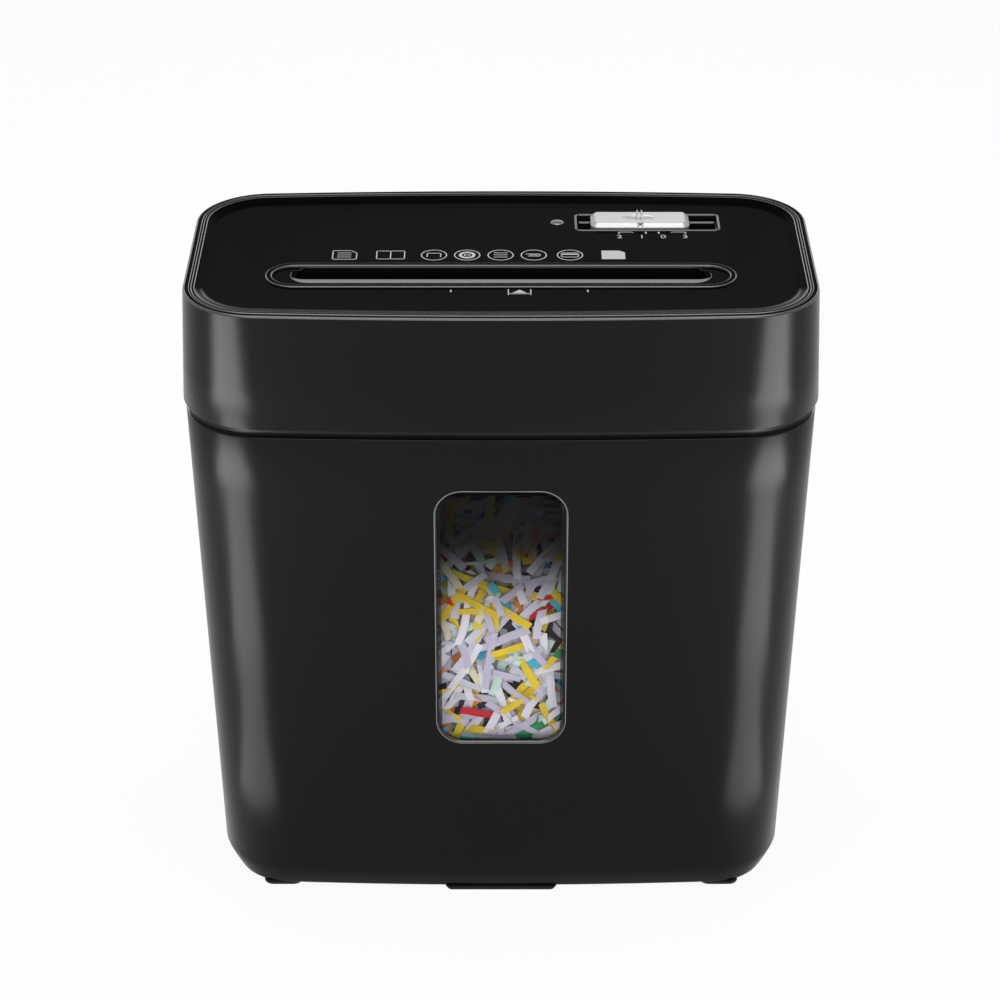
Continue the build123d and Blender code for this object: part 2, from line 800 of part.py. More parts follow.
sensor_slot = sensor_width + 2 * sensor_side_gap
guide_outer = throat_width + 2 * guide_wall
with BuildPart() as paper_guide:
    block(-plate_inside, plate_inside, nip_y - guide_outer / 2, nip_y + guide_outer / 2,
          guide_bottom, throat_bottom)
    block(-throat_length / 2, throat_length / 2, throat_front, throat_back,
          guide_bottom, throat_bottom, Mode.SUBTRACT)
    block(-sensor_slot / 2, sensor_slot / 2, throat_back, throat_back + guide_wall,
          guide_bottom, sensor_z + sensor_pin + sensor_boss, Mode.SUBTRACT)
save(paper_guide, "paper_guide")

# ---------------------------------------------------------------- mode switch
tray_bottom = panel_flat - tray_depth - tray_floor
tray_top = panel_flat + tray_lip_rise
recess_floor = panel_flat - tray_depth
recess_length = tray_body[0] - 2 * tray_wall
recess_width = tray_body[1] - 2 * tray_wall
stem_left = knob_middle_x - stem_length / 2
slot_left = stem_left - slide_forward - stem_gap
slot_right = stem_left + stem_length + slide_reverse + stem_gap
slot_deep = stem_width + 2 * stem_gap
switch_top = tray_bottom
switch_middle = (slot_left + slot_right) / 2

with BuildPart() as switch_tray:
    prism(*tray_body, tray_corner - tray_lip / 2, tray_middle_x, tray_middle_y, tray_bottom,
          panel_flat)
    prism(tray_length, tray_width, tray_corner, tray_middle_x, tray_middle_y, panel_flat, tray_top)
    prism(recess_length, recess_width, tray_corner - tray_lip, tray_middle_x, tray_middle_y,
          recess_floor, tray_top, Mode.SUBTRACT)
    block(slot_left, slot_right, tray_middle_y - slot_deep / 2, tray_middle_y + slot_deep / 2,
          tray_bottom, recess_floor, Mode.SUBTRACT)
save(switch_tray, "switch_tray")

knob_width = recess_width - 2 * knob_gap
knob_bottom = recess_floor + knob_lift
knob_top = panel_flat + knob_rise
stem_bottom = knob_bottom - stem_drop
with BuildPart() as mode_knob:
    prism(knob_length, knob_width, knob_corner, knob_middle_x, tray_middle_y, knob_bottom,
          knob_top - knob_slope)
    for level, inset in ((knob_top - knob_slope, 0.0), (knob_top, knob_bevel)):
        with BuildSketch(Plane.XY.offset(level)):
            with Locations((knob_middle_x, tray_middle_y)):
                RectangleRounded(knob_length - 2 * inset, knob_width - 2 * inset, knob_corner)
    loft(ruled=True)
    ridge_deep = knob_width - 2 * knob_bevel
    block(knob_middle_x - ridge_width / 2, knob_middle_x + ridge_width / 2,
          tray_middle_y - ridge_deep / 2, tray_middle_y + ridge_deep / 2, knob_top,
          knob_top + ridge_rise)
    # shallow oval for the fingertip, either side of the ridge
    for side in (-1, 1):
        with BuildSketch(Plane.XY.offset(knob_top - dimple_depth)):
            with Locations((knob_middle_x + side * (dimple_length + ridge_width) / 4, tray_middle_y)):
                Ellipse((dimple_length - ridge_width) / 4 - 0.2, dimple_length / 4)
        extrude(amount=dimple_depth, mode=Mode.SUBTRACT)
    block(stem_left, stem_left + stem_length, tray_middle_y - stem_width / 2,
          tray_middle_y + stem_width / 2, stem_bottom, knob_bottom)
save(mode_knob, "mode_knob")

with BuildPart() as mode_switch:
    prism(switch_length, switch_width, switch_corner, switch_middle, tray_middle_y,
          switch_top - switch_height, switch_top)
    block(slot_left, slot_right, tray_middle_y - slot_deep / 2, tray_middle_y + slot_deep / 2,
          stem_bottom - 1.0, switch_top, Mode.SUBTRACT)
    for x in switch_pins:
        prism(switch_pin[0], switch_pin[1], 0, switch_middle + x, tray_middle_y,
              switch_top - switch_height - switch_pin[2], switch_top - switch_height)
save(mode_switch, "mode_switch")

# ---------------------------------------------------------------- indicator
lens_foot = pocket_floor - lens_flange_drop
lamp_foot = lens_foot - lamp_height
with BuildPart() as indicator_lens:
    post(lens_radius, lens_x, lens_y, pocket_floor, panel_flat + lens_rise)
    post(lens_radius + lens_flange, lens_x, lens_y, lens_foot, pocket_floor)
    fillet(faces().sort_by(Axis.Z)[-1].edges(), lens_round)
save(indicator_lens, "indicator_lens")

with BuildPart() as indicator_lamp:
    post(lamp_radius, lens_x, lens_y, lamp_foot, lens_foot)
    post(lamp_radius + lamp_rim, lens_x, lens_y, lamp_foot - 1.0, lamp_foot)
    for side in (-1, 1):
        post(lamp_leg, lens_x + side * lamp_leg_reach, lens_y, lamp_foot - 1.0 - lamp_leg_length,
             lamp_foot - 1.0)
save(indicator_lamp, "indicator_lamp")

# ---------------------------------------------------------------- cutting block
front_axis = (nip_y - shaft_spacing / 2, shaft_z)
rear_axis = (nip_y + shaft_spacing / 2, shaft_z)
plate_bottom = well_bottom + well_wall
plate_outside = plate_inside + plate_thickness
shoulder = plate_inside - shaft_step
hex_radius = hex_flats / sqrt(3)
gap_between = disc_pitch - disc_thickness


def disc_places(count):
    """Left faces of the discs on a shaft with this many of them."""
    return [(i - (count - 1) / 2) * disc_pitch - disc_thickness / 2 for i in range(count)]


def cutter_shaft(axis, left, right, name):
    """Hexagonal shaft with round journals."""
    with BuildPart() as shaft:
        with BuildSketch(across(-shoulder, *axis)):
            RegularPolygon(hex_radius, 6)
        extrude(amount=2 * shoulder)
        rod(-left, -shoulder, journal_radius, *axis)
        rod(shoulder, right, journal_radius, *axis)
    save(shaft, name)


def cutter_discs(axis, count, name):
    """Stack of hooked discs, each turned a little from the last."""
    with BuildPart() as discs:
        for number, x in enumerate(disc_places(count)):
            with BuildSketch(across(x, *axis)):
                Circle(disc_radius)
                with PolarLocations(disc_radius - hook_depth, hook_count,
                                    start_angle=hook_turn * number):
                    Triangle(a=2 * hook_depth, b=hook_length, C=hook_angle,
                             align=(Align.MIN, Align.MIN), mode=Mode.SUBTRACT)
                RegularPolygon(hex_radius + hex_fit, 6, mode=Mode.SUBTRACT)
            extrude(amount=disc_thickness)
    save(discs, name)


def cutter_spacers(axis, count, name):
    """Rings between the discs and a longer one at each end."""
    starts = disc_places(count)
    spans = [(-shoulder, starts[0])]
    spans += [(x + disc_thickness, x + disc_pitch) for x in starts[:-1]]
    spans += [(starts[-1] + disc_thickness, shoulder)]
    with BuildPart() as spacers:
        for x0, x1 in spans:
            with BuildSketch(across(x0, *axis)):
                Circle(spacer_radius)
                Circle(hex_radius + hex_fit, mode=Mode.SUBTRACT)
            extrude(amount=x1 - x0)
    save(spacers, name)


sync_end = layer_one + sync_face + thrust_gap
cutter_shaft(rear_axis, layer_three + drive_face, sync_end, "rear_cutter_shaft")
cutter_shaft(front_axis, plate_outside + bush_flange_thickness + thrust_gap, sync_end,
             "front_cutter_shaft")
for axis, count, place in ((rear_axis, rear_discs, "rear"), (front_axis, rear_discs + 1, "front")):
    cutter_discs(axis, count, f"{place}_cutter_discs")
    cutter_spacers(axis, count, f"{place}_spacers")

# ---------------------------------------------------------------- gear train
ratio_radius = {
    "motor": module_first * teeth_motor / 2,
    "first_large": module_first * teeth_first_large / 2,
    "first_small": module_second * teeth_first_small / 2,
    "second_large": module_second * teeth_second_large / 2,
    "second_small": module_drive * teeth_second_small / 2,
    "drive": module_drive * teeth_drive / 2,
}
motor_axis = (motor_y, motor_z)
second_span = ratio_radius["second_small"] + ratio_radius["drive"]
second_axis = (rear_axis[0] + second_span * cos(radians(second_gear_angle)),
               rear_axis[1] + second_span * sin(radians(second_gear_angle)))


def meeting_point(a, reach_a, b, reach_b):
    """Point at given distances from a and b, on the left going from a to b."""
    span = hypot(b[0] - a[0], b[1] - a[1])
    along = (reach_a ** 2 - reach_b ** 2 + span ** 2) / (2 * span)
    out = sqrt(reach_a ** 2 - along ** 2)
    u = ((b[0] - a[0]) / span, (b[1] - a[1]) / span)
    return (a[0] + u[0] * along + u[1] * out, a[1] + u[1] * along - u[0] * out)


first_axis = meeting_point(motor_axis, ratio_radius["motor"] + ratio_radius["first_large"],
                           second_axis, ratio_radius["first_small"] + ratio_radius["second_large"])
motor_phase = 0.0
first_phase = meshed_phase(motor_phase, teeth_motor, teeth_first_large, motor_axis, first_axis)
second_phase = meshed_phase(first_phase, teeth_first_small, teeth_second_large, first_axis,
                            second_axis)
drive_phase = meshed_phase(second_phase, teeth_second_small, teeth_drive, second_axis, rear_axis)
sync_phase = meshed_phase(0.0, teeth_sync, teeth_sync, rear_axis, front_axis)
bore = pin_radius + pin_fit
first_end = layer_two + second_face + end_play
second_end = gearbox_cover_at - end_play

with BuildPart() as first_reduction_gear:
    gear(teeth_first_large, module_first, first_phase, -layer_one - first_face, -layer_one,
         *first_axis)
    gear(teeth_first_small, module_second, first_phase, -first_end, -layer_one - first_face,
         *first_axis)
    rod(-first_end, -layer_one, bore, *first_axis, mode=Mode.SUBTRACT)
save(first_reduction_gear, "first_reduction_gear")

with BuildPart() as second_reduction_gear:
    rod(-layer_two, -plate_outside - end_play, pin_radius + hub_wall, *second_axis)
    gear(teeth_second_large, module_second, second_phase, -layer_two - second_face, -layer_two,
         *second_axis)
    gear(teeth_second_small, module_drive, second_phase, -second_end, -layer_two - second_face,
         *second_axis)
    rod(-second_end, -plate_outside - end_play, bore, *second_axis, mode=Mode.SUBTRACT)
save(second_reduction_gear, "second_reduction_gear")

with BuildPart() as drive_gear:
    gear(teeth_drive, module_drive, drive_phase, -layer_three - drive_face, -layer_three, *rear_axis)
    rod(-layer_three, -plate_outside - bush_flange_thickness - thrust_gap, bush_radius, *rear_axis)
    rod(-layer_three - drive_face, -plate_outside, journal_radius, *rear_axis, mode=Mode.SUBTRACT)
save(drive_gear, "drive_gear")

for axis, phase, place in ((rear_axis, 0.0, "rear"), (front_axis, sync_phase, "front")):
    with BuildPart() as sync_gear:
        gear(teeth_sync, module_sync, phase, layer_one, layer_one + sync_face, *axis)
        rod(layer_one, layer_one + sync_face, journal_radius, *axis, mode=Mode.SUBTRACT)
    save(sync_gear, f"{place}_sync_gear")

# ---------------------------------------------------------------- side plates
rod_places = [(y, shaft_z + rise) for rise in (rod_rise, -rod_drop) for y in (rod_front, rod_back)]
bore_in_plate = bush_radius + screw_fit
motor_screws_at = [(motor_y + side * motor_screw_reach, motor_z) for side in (-1, 1)]


def side_plate(side, back, top, extra_holes, name):
    """Upright plate with a foot turned outwards; side is -1 on the left."""
    inner = side * plate_inside
    outer = side * plate_outside
    x0, x1 = min(inner, outer), max(inner, outer)
    foot = side * (plate_outside + plate_foot)
    with BuildPart() as plate:
        block(x0, x1, plate_front, right_plate_back, plate_bottom, top)
        if back > right_plate_back:
            block(x0, x1, right_plate_back, back, floor_top, top)
            block(x0, x1, right_plate_back, back - plate_step, plate_bottom, floor_top)
        block(min(outer, foot), max(outer, foot), plate_foot_front, plate_foot_back,
              plate_bottom, plate_bottom + plate_thickness)
        for axis in (front_axis, rear_axis):
            rod(x0, x1, bore_in_plate, *axis, mode=Mode.SUBTRACT)
        for place in rod_places:
            rod(x0, x1, rod_bolt_radius + screw_fit, *place, mode=Mode.SUBTRACT)
        for place, radius in extra_holes:
            rod(x0, x1, radius, *place, mode=Mode.SUBTRACT)
        for y in foot_screw_y:
            post(rod_bolt_radius + screw_fit, side * foot_screw_x, y, plate_bottom,
                 plate_bottom + plate_thickness, Mode.SUBTRACT)
    save(plate, name)


side_plate(-1, left_plate_back, left_plate_top,
           [(motor_axis, motor_nose_hole), (first_axis, pin_radius), (second_axis, pin_radius)]
           + [(place, rod_bolt_radius + screw_fit) for place in motor_screws_at], "left_side_plate")
side_plate(1, right_plate_back, right_plate_top, [], "right_side_plate")

with BuildPart() as tie_rods:
    for place in rod_places:
        rod(-plate_inside, plate_inside, rod_radius, *place)
        for x in (-plate_inside, plate_inside - rod_thread):
            rod(x, x + rod_thread, rod_bolt_radius, *place, mode=Mode.SUBTRACT)
save(tie_rods, "tie_rods")

with BuildPart() as tie_rod_bolts:
    for place in rod_places:
        for side in (-1, 1):
            head = (side * plate_outside, side * (plate_outside + rod_head_height))
            shank = (side * (plate_inside - rod_thread + screw_end_gap), side * plate_outside)
            rod(min(head), max(head), rod_head_radius, *place)
            rod(min(shank), max(shank), rod_bolt_radius, *place)
save(tie_rod_bolts, "tie_rod_bolts")

with BuildPart() as shaft_bushings:
    for axis in (front_axis, rear_axis):
        for side in (-1, 1):
            body = (side * plate_inside, side * plate_outside)
            flange = (side * plate_outside, side * (plate_outside + bush_flange_thickness))
            rod(min(body), max(body), bush_radius, *axis)
            rod(min(flange), max(flange), bush_flange, *axis)
    for axis in (front_axis, rear_axis):
        rod(-plate_outside - bush_flange_thickness, plate_outside + bush_flange_thickness,
            journal_radius + journal_fit, *axis, mode=Mode.SUBTRACT)
save(shaft_bushings, "shaft_bushings")

with BuildPart() as frame_screws:
    for x in (-foot_screw_x, foot_screw_x):
        for y in foot_screw_y:
            post(rod_head_radius, x, y, well_bottom - rod_head_height, well_bottom)
            post(rod_bolt_radius, x, y, well_bottom, plate_bottom + plate_thickness)
save(frame_screws, "frame_screws")

finger_thickness = gap_between - 2 * finger_gap
for axis, count, side, place in ((front_axis, rear_discs + 1, -1, "front"),
                                 (rear_axis, rear_discs, 1, "rear")):
    inner = axis[0] + side * (disc_radius + comb_gap)
    outer = inner + side * comb_bar
    tip = axis[0] + side * (spacer_radius + finger_tip_gap)
    z0 = shaft_z - comb_height / 2
    with BuildPart() as comb:
        block(-plate_inside, plate_inside, min(inner, outer), max(inner, outer), z0, z0 + comb_height)
        for x in disc_places(count)[:-1]:
            x0 = x + disc_thickness + finger_gap
            block(x0, x0 + finger_thickness, min(inner, tip), max(inner, tip),
                  shaft_z - finger_height / 2, shaft_z + finger_height / 2)
    save(comb, f"{place}_comb")

# ---------------------------------------------------------------- gearbox
with BuildPart() as gear_pins:
    for axis in (first_axis, second_axis):
        rod(-gearbox_cover_at - gearbox_cover_thickness, -plate_inside, pin_radius, *axis)
save(gear_pins, "gear_pins")

cover_y = (rear_axis[0] - cover_reach, second_axis[0] + cover_reach - 4.0)
cover_z = (shaft_z - cover_reach - 1.0, first_axis[1] + cover_reach - 1.0)
cover_middle = ((cover_y[0] + cover_y[1]) / 2, (cover_z[0] + cover_z[1]) / 2)
standoffs = [(y, cover_z[1] - standoff_inset)
             for y in (cover_y[0] + standoff_inset, cover_y[1] - standoff_inset)]
with BuildPart() as gearbox_cover:
    with BuildSketch(across(-gearbox_cover_at - gearbox_cover_thickness, *cover_middle)):
        RectangleRounded(cover_y[1] - cover_y[0], cover_z[1] - cover_z[0], cover_corner)
    extrude(amount=gearbox_cover_thickness)
    for axis in (first_axis, second_axis):
        rod(-gearbox_cover_at - gearbox_cover_thickness, -gearbox_cover_at, pin_radius, *axis,
            mode=Mode.SUBTRACT)
    for place in standoffs:
        rod(-gearbox_cover_at, -plate_outside, standoff_radius, *place)
save(gearbox_cover, "gearbox_cover")

# ---------------------------------------------------------------- motor
can_left = -plate_inside
can_right = can_left + motor_length
cap_right = can_right + motor_cap_length
with BuildPart() as motor_can:
    rod(can_left, can_right, motor_radius, *motor_axis)
    rod(can_left + motor_end_wall, can_right, motor_radius - motor_wall, *motor_axis,
        mode=Mode.SUBTRACT)
    rod(can_left, can_left + motor_end_wall, motor_shaft_radius + pin_fit, *motor_axis,
        mode=Mode.SUBTRACT)
    for place in motor_screws_at:
        rod(can_left, can_left + motor_end_wall, rod_bolt_radius, *place, mode=Mode.SUBTRACT)
save(motor_can, "motor_can")

with BuildPart() as motor_magnets:
    for middle in (0.0, 180.0):
        with BuildSketch(across(can_left + magnet_inset, *motor_axis)):
            Circle(motor_radius - motor_wall)
            Circle(motor_radius - motor_wall - magnet_thickness, mode=Mode.SUBTRACT)
            with Locations(Rot(0, 0, middle)):
                with Locations((motor_radius * 0.75, 0)):
                    Rectangle(motor_radius, motor_radius * 1.3, mode=Mode.INTERSECT)
        extrude(amount=motor_length - 2 * magnet_inset)
save(motor_magnets, "motor_magnets")

with BuildPart() as motor_end_cap:
    rod(can_right, cap_right, motor_radius, *motor_axis)
    rod(can_right, cap_right - motor_end_wall, motor_radius - motor_cap_wall, *motor_axis,
        mode=Mode.SUBTRACT)
    rod(cap_right - motor_end_wall, cap_right, motor_shaft_radius + pin_fit, *motor_axis,
        mode=Mode.SUBTRACT)
    for side in (-1, 1):
        lug_y = motor_y + side * lug_reach
        block(cap_right, cap_right + lug_length, lug_y - lug_thickness / 2,
              lug_y + lug_thickness / 2, motor_z - lug_width / 2, motor_z + lug_width / 2)
save(motor_end_cap, "motor_end_cap")

pinion_left = -layer_one - first_face - pinion_overhang
pinion_right = -layer_one + pinion_overhang
core_radius = motor_radius - motor_wall - magnet_thickness - air_gap
with BuildPart() as motor_armature:
    rod(pinion_left, cap_right, motor_shaft_radius, *motor_axis)
    with BuildSketch(across(can_left + core_inset, *motor_axis)):
        Circle(core_radius)
        with PolarLocations(core_radius - core_slot[1] / 2, core_slots):
            Rectangle(*core_slot, mode=Mode.SUBTRACT)
    extrude(amount=motor_length - 2 * core_inset)
    rod(can_right - core_inset, can_right, commutator_radius, *motor_axis)
save(motor_armature, "motor_armature")

with BuildPart() as motor_pinion:
    gear(teeth_motor, module_first, motor_phase, pinion_left, pinion_right, *motor_axis)
    rod(pinion_left, pinion_right, motor_shaft_radius, *motor_axis, mode=Mode.SUBTRACT)
save(motor_pinion, "motor_pinion")

with BuildPart() as motor_screws:
    for place in motor_screws_at:
        rod(-plate_outside - motor_screw_cap, -plate_outside, motor_screw_head, *place)
        rod(-plate_outside, -plate_inside + motor_end_wall, rod_bolt_radius, *place)
save(motor_screws, "motor_screws")

with BuildPart() as thermal_cutout:
    cutout_y = motor_y - cutout_size[1] / 2
    cutout_z = motor_z + motor_radius
    block(cutout_x - cutout_size[0] / 2, cutout_x + cutout_size[0] / 2, cutout_y,
          cutout_y + cutout_size[1], cutout_z, cutout_z + cutout_size[2])
    for side in (-1, 1):
        leg_x = cutout_x + side * cutout_leg_x
        block(leg_x - 1, leg_x + 1, cutout_y - cutout_leg, cutout_y, cutout_z + 2.0,
              cutout_z + 2.0 + lug_thickness)
save(thermal_cutout, "thermal_cutout")

# ---------------------------------------------------------------- control board
board_bottom = floor_top + board_post
board_top = board_bottom + board_thickness
board_holes = [(board_x + i * (board_length / 2 - board_inset),
                board_y + j * (board_width / 2 - board_inset)) for i in (-1, 1) for j in (-1, 1)]
with BuildPart() as board_posts:
    for x, y in board_holes:
        post(board_post_radius, x, y, floor_top, board_bottom)
        post(board_pilot, x, y, floor_top, board_bottom, Mode.SUBTRACT)
save(board_posts, "board_posts")

with BuildPart() as control_board:
    prism(board_length, board_width, 1.5, board_x, board_y, board_bottom, board_top)
    for x, y in board_holes:
        post(board_hole, x, y, board_bottom, board_top, Mode.SUBTRACT)
save(control_board, "control_board")

with BuildPart() as board_screws:
    for x, y in board_holes:
        post(board_screw[0], x, y, board_top, board_top + board_screw[1])
        post(board_screw_radius, x, y, board_top - board_screw_length, board_top)
save(board_screws, "board_screws")

for name, at, size in (("relay", relay_at, (15.0, 19.0, 15.0)),
                       ("filter_capacitor", filter_at, (18.0, 8.0, 14.0)),
                       ("terminal_block", terminal_at, (20.0, 8.0, 10.0))):
    x, y = board_x + at[0], board_y + at[1]
    with BuildPart() as component:
        prism(size[0], size[1], 0.8, x, y, board_top, board_top + size[2])
        if name == "terminal_block":
            for way in terminal_ways:
                post(terminal_way[0], x + way, y, board_top + size[2] - terminal_way[1],
                     board_top + size[2], Mode.SUBTRACT)
    save(component, name)

with BuildPart() as smoothing_capacitor:
    post(capacitor[0], board_x + capacitor_at[0], board_y + capacitor_at[1], board_top,
         board_top + capacitor[1])
    fillet(faces().sort_by(Axis.Z)[-1].edges(), 0.8)
save(smoothing_capacitor, "smoothing_capacitor")

# ---------------------------------------------------------------- interlock
plunger_bottom = tab_top + plunger_gap
plunger_top = plunger_bottom + plunger_length
plunger_half = plunger_width / 2
head_half = plunger_head / 2
tab_half = tab_thickness / 2
case_bottom = plunger_bottom + switch_lift
case_top = plunger_top + plunger_travel + switch_cap
switch_back = head_half_depth(tab_x + switch_half, case_top) - head_wall - switch_gap
with BuildPart() as interlock_plunger:
    block(tab_x - plunger_half, tab_x + plunger_half, tab_y - tab_half, tab_y + tab_half,
          plunger_bottom, plunger_top)
    block(tab_x - head_half, tab_x + head_half, tab_y - tab_half, tab_y + tab_half,
          plunger_top - 2.0, plunger_top)
save(interlock_plunger, "interlock_plunger")

with BuildPart() as interlock_switch:
    block(tab_x - switch_half, tab_x + switch_half, tab_y - switch_front, switch_back, case_bottom,
          case_top)
    for half, z0, z1 in ((plunger_half, case_bottom, plunger_top - 2.0),
                         (head_half, plunger_top - 2.0 - plunger_fit,
                          plunger_top + plunger_travel + plunger_fit)):
        block(tab_x - half - plunger_fit, tab_x + half + plunger_fit, tab_y - tab_half - plunger_fit,
              tab_y + tab_half + plunger_fit, z0, z1, Mode.SUBTRACT)
save(interlock_switch, "interlock_switch")

# ---------------------------------------------------------------- paper sensor
sensor_tip = (throat_back - sensor_entry, sensor_z - sensor_dip)
sensor_axis = (sensor_y, sensor_z)
ear_x = sensor_width / 2 + ear_gap
ear_end = ear_x + ear_thickness
ear_back = sensor_y + ear_half
guide_back = nip_y + guide_outer / 2
with BuildPart() as sensor_lever:
    rod(-sensor_width / 2, sensor_width / 2, sensor_pin + sensor_boss, *sensor_axis)
    with BuildSketch(across(-sensor_width / 2)):
        with BuildLine():
            Polyline((sensor_y, sensor_z + sensor_pin), (sensor_y, sensor_z - sensor_pin),
                     (sensor_tip[0] + 1.0, sensor_tip[1] - 0.5), sensor_tip,
                     (sensor_tip[0] + 1.0, sensor_tip[1] + 2.0), close=True)
        make_face()
    extrude(amount=sensor_width)
    rod(-sensor_width / 2, sensor_width / 2, sensor_pin + sensor_fit, *sensor_axis,
        mode=Mode.SUBTRACT)
save(sensor_lever, "sensor_lever")

with BuildPart() as sensor_bracket:
    for side in (-1, 1):
        x0, x1 = sorted((side * ear_x, side * ear_end))
        block(x0, x1, guide_back, ear_back, sensor_z - ear_half, sensor_z + ear_half)
    rod(-ear_end, ear_end, sensor_pin, *sensor_axis)
    block(-ear_end, ear_end, guide_back, guide_back + strap_thickness, sensor_z + ear_half,
          throat_bottom)
    block(-ear_end, ear_end, guide_back, ear_back, sensor_z + ear_half,
          sensor_z + ear_half + strap_thickness)
save(sensor_bracket, "sensor_bracket")
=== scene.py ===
# Paper shredder: shells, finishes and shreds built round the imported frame
import json
import math
import random

import bmesh
import bpy
from mathutils import Matrix, Vector


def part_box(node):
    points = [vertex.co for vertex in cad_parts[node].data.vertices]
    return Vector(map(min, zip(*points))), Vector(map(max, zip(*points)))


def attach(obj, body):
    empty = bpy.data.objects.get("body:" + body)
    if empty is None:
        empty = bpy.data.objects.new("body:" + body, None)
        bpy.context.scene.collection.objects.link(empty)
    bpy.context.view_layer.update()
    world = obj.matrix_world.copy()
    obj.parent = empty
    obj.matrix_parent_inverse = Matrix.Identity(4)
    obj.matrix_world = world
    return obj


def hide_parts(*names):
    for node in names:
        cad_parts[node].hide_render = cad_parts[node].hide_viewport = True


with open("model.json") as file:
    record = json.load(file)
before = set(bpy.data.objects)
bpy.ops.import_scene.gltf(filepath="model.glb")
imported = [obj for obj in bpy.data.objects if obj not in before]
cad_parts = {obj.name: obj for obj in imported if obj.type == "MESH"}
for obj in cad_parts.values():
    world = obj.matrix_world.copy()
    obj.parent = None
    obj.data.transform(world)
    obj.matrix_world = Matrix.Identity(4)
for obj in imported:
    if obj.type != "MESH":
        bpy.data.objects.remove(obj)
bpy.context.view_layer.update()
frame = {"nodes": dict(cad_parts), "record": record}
nodes = frame["nodes"]
mm = 0.001  # pieces are modelled in millimetres and scaled once, when they are finished


def boxOf(node):
    # lowest and highest corner of a CAD node, in millimetres
    low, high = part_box(node)
    return low / mm, high / mm


class Sock:
    # wraps an output socket, so that sums on it add Math nodes
    def __init__(self, graph, out):
        self.graph = graph
        self.out = out

    def maths(self, operation, first, second):
        return self.graph.node("ShaderNodeMath", {"operation": operation}, {0: first, 1: second})

    def __add__(self, other):
        return self.maths("ADD", self, other)

    def __radd__(self, other):
        return self.maths("ADD", other, self)

    def __sub__(self, other):
        return self.maths("SUBTRACT", self, other)

    def __rsub__(self, other):
        return self.maths("SUBTRACT", other, self)

    def __mul__(self, other):
        return self.maths("MULTIPLY", self, other)

    def __rmul__(self, other):
        return self.maths("MULTIPLY", other, self)


class Graph:
    # a node tree, of a material or of the world
    def __init__(self, tree, outputKind):
        self.tree = tree
        tree.nodes.clear()
        self.output = tree.nodes.new(outputKind)

    def put(self, socket, value):
        if isinstance(value, Sock):
            self.tree.links.new(value.out, socket)
        else:
            socket.default_value = value

    def show(self, surface):
        self.put(self.output.inputs["Surface"], surface)

    def node(self, kind, settings, sockets, out=0):
        made = self.tree.nodes.new(kind)
        for name, value in settings.items():
            setattr(made, name, value)
        for name, value in sockets.items():
            self.put(made.inputs[name], value)
        return Sock(self, made.outputs[out])

    def fade(self, value, low, high, start=0.0, end=1.0, kind="SMOOTHSTEP"):
        # from start to end while the value goes from low to high
        return self.node("ShaderNodeMapRange", {"interpolation_type": kind},
                         {"Value": value, "From Min": low, "From Max": high, "To Min": start, "To Max": end})

    def seenWhite(self):
        # 1 for camera, glossy and transmission rays, which see the plain background
        rays = [self.node("ShaderNodeLightPath", {}, {}, name)
                for name in ("Is Camera Ray", "Is Glossy Ray", "Is Transmission Ray")]
        return self.node("ShaderNodeClamp", {}, {"Value": rays[0] + rays[1] + rays[2]})


class Paint(Graph):
    # one material: a Principled shader and whatever feeds it
    def __init__(self, name, **sockets):
        self.material = bpy.data.materials.new(name)
        self.material.use_nodes = True
        super().__init__(self.material.node_tree, "ShaderNodeOutputMaterial")
        self.shader = self.tree.nodes.new("ShaderNodeBsdfPrincipled")
        self.surface = Sock(self, self.shader.outputs[0])
        self.show(self.surface)
        self.feed(**sockets)

    def feed(self, **sockets):
        for name, value in sockets.items():
            self.put(self.shader.inputs[socketNames[name]], value)

    def noise(self, scale, detail=2.0, stretch=(1, 1, 1)):
        spot = self.node("ShaderNodeTexCoord", {}, {}, "Object")
        place = self.node("ShaderNodeMapping", {}, {"Vector": spot, "Scale": stretch})
        return self.node("ShaderNodeTexNoise", {}, {"Vector": place, "Scale": scale, "Detail": detail}, "Fac")

    def mix(self, fac, first, second, blend="MIX"):
        settings = {"data_type": "RGBA", "blend_type": blend}
        return self.node("ShaderNodeMix", settings, {0: fac, 6: first, 7: second}, 2)

    def bump(self, height, strength, distance=0.0001):
        return self.node("ShaderNodeBump", {}, {"Height": height, "Strength": strength, "Distance": distance})

    def spot(self, axis):
        # where the surface lies along an axis of the object
        place = self.node("ShaderNodeTexCoord", {}, {}, "Object")
        return self.node("ShaderNodeSeparateXYZ", {}, {"Vector": place}, axis)

    def facing(self, axis):
        # how far the surface faces along an axis
        normal = self.node("ShaderNodeNewGeometry", {}, {}, "Normal")
        return self.node("ShaderNodeSeparateXYZ", {}, {"Vector": normal}, axis)

    def edges(self, steep, level):
        # 1 on rounded edges and walls, 0 on faces that lie flat
        return self.fade(self.facing("Z"), steep, level, 1.0, 0.0)


socketNames = {
    "colour": "Base Color", "rough": "Roughness", "metal": "Metallic", "normal": "Normal",
    "alpha": "Alpha", "specular": "Specular IOR Level", "coat": "Coat Weight",
    "coatRough": "Coat Roughness", "coatIor": "Coat IOR", "glow": "Emission Color",
    "glowPower": "Emission Strength", "ior": "IOR",
}


def shaded(colour, factor=1.0):
    return tuple(min(1.0, channel * factor) for channel in colour) + (1.0,)


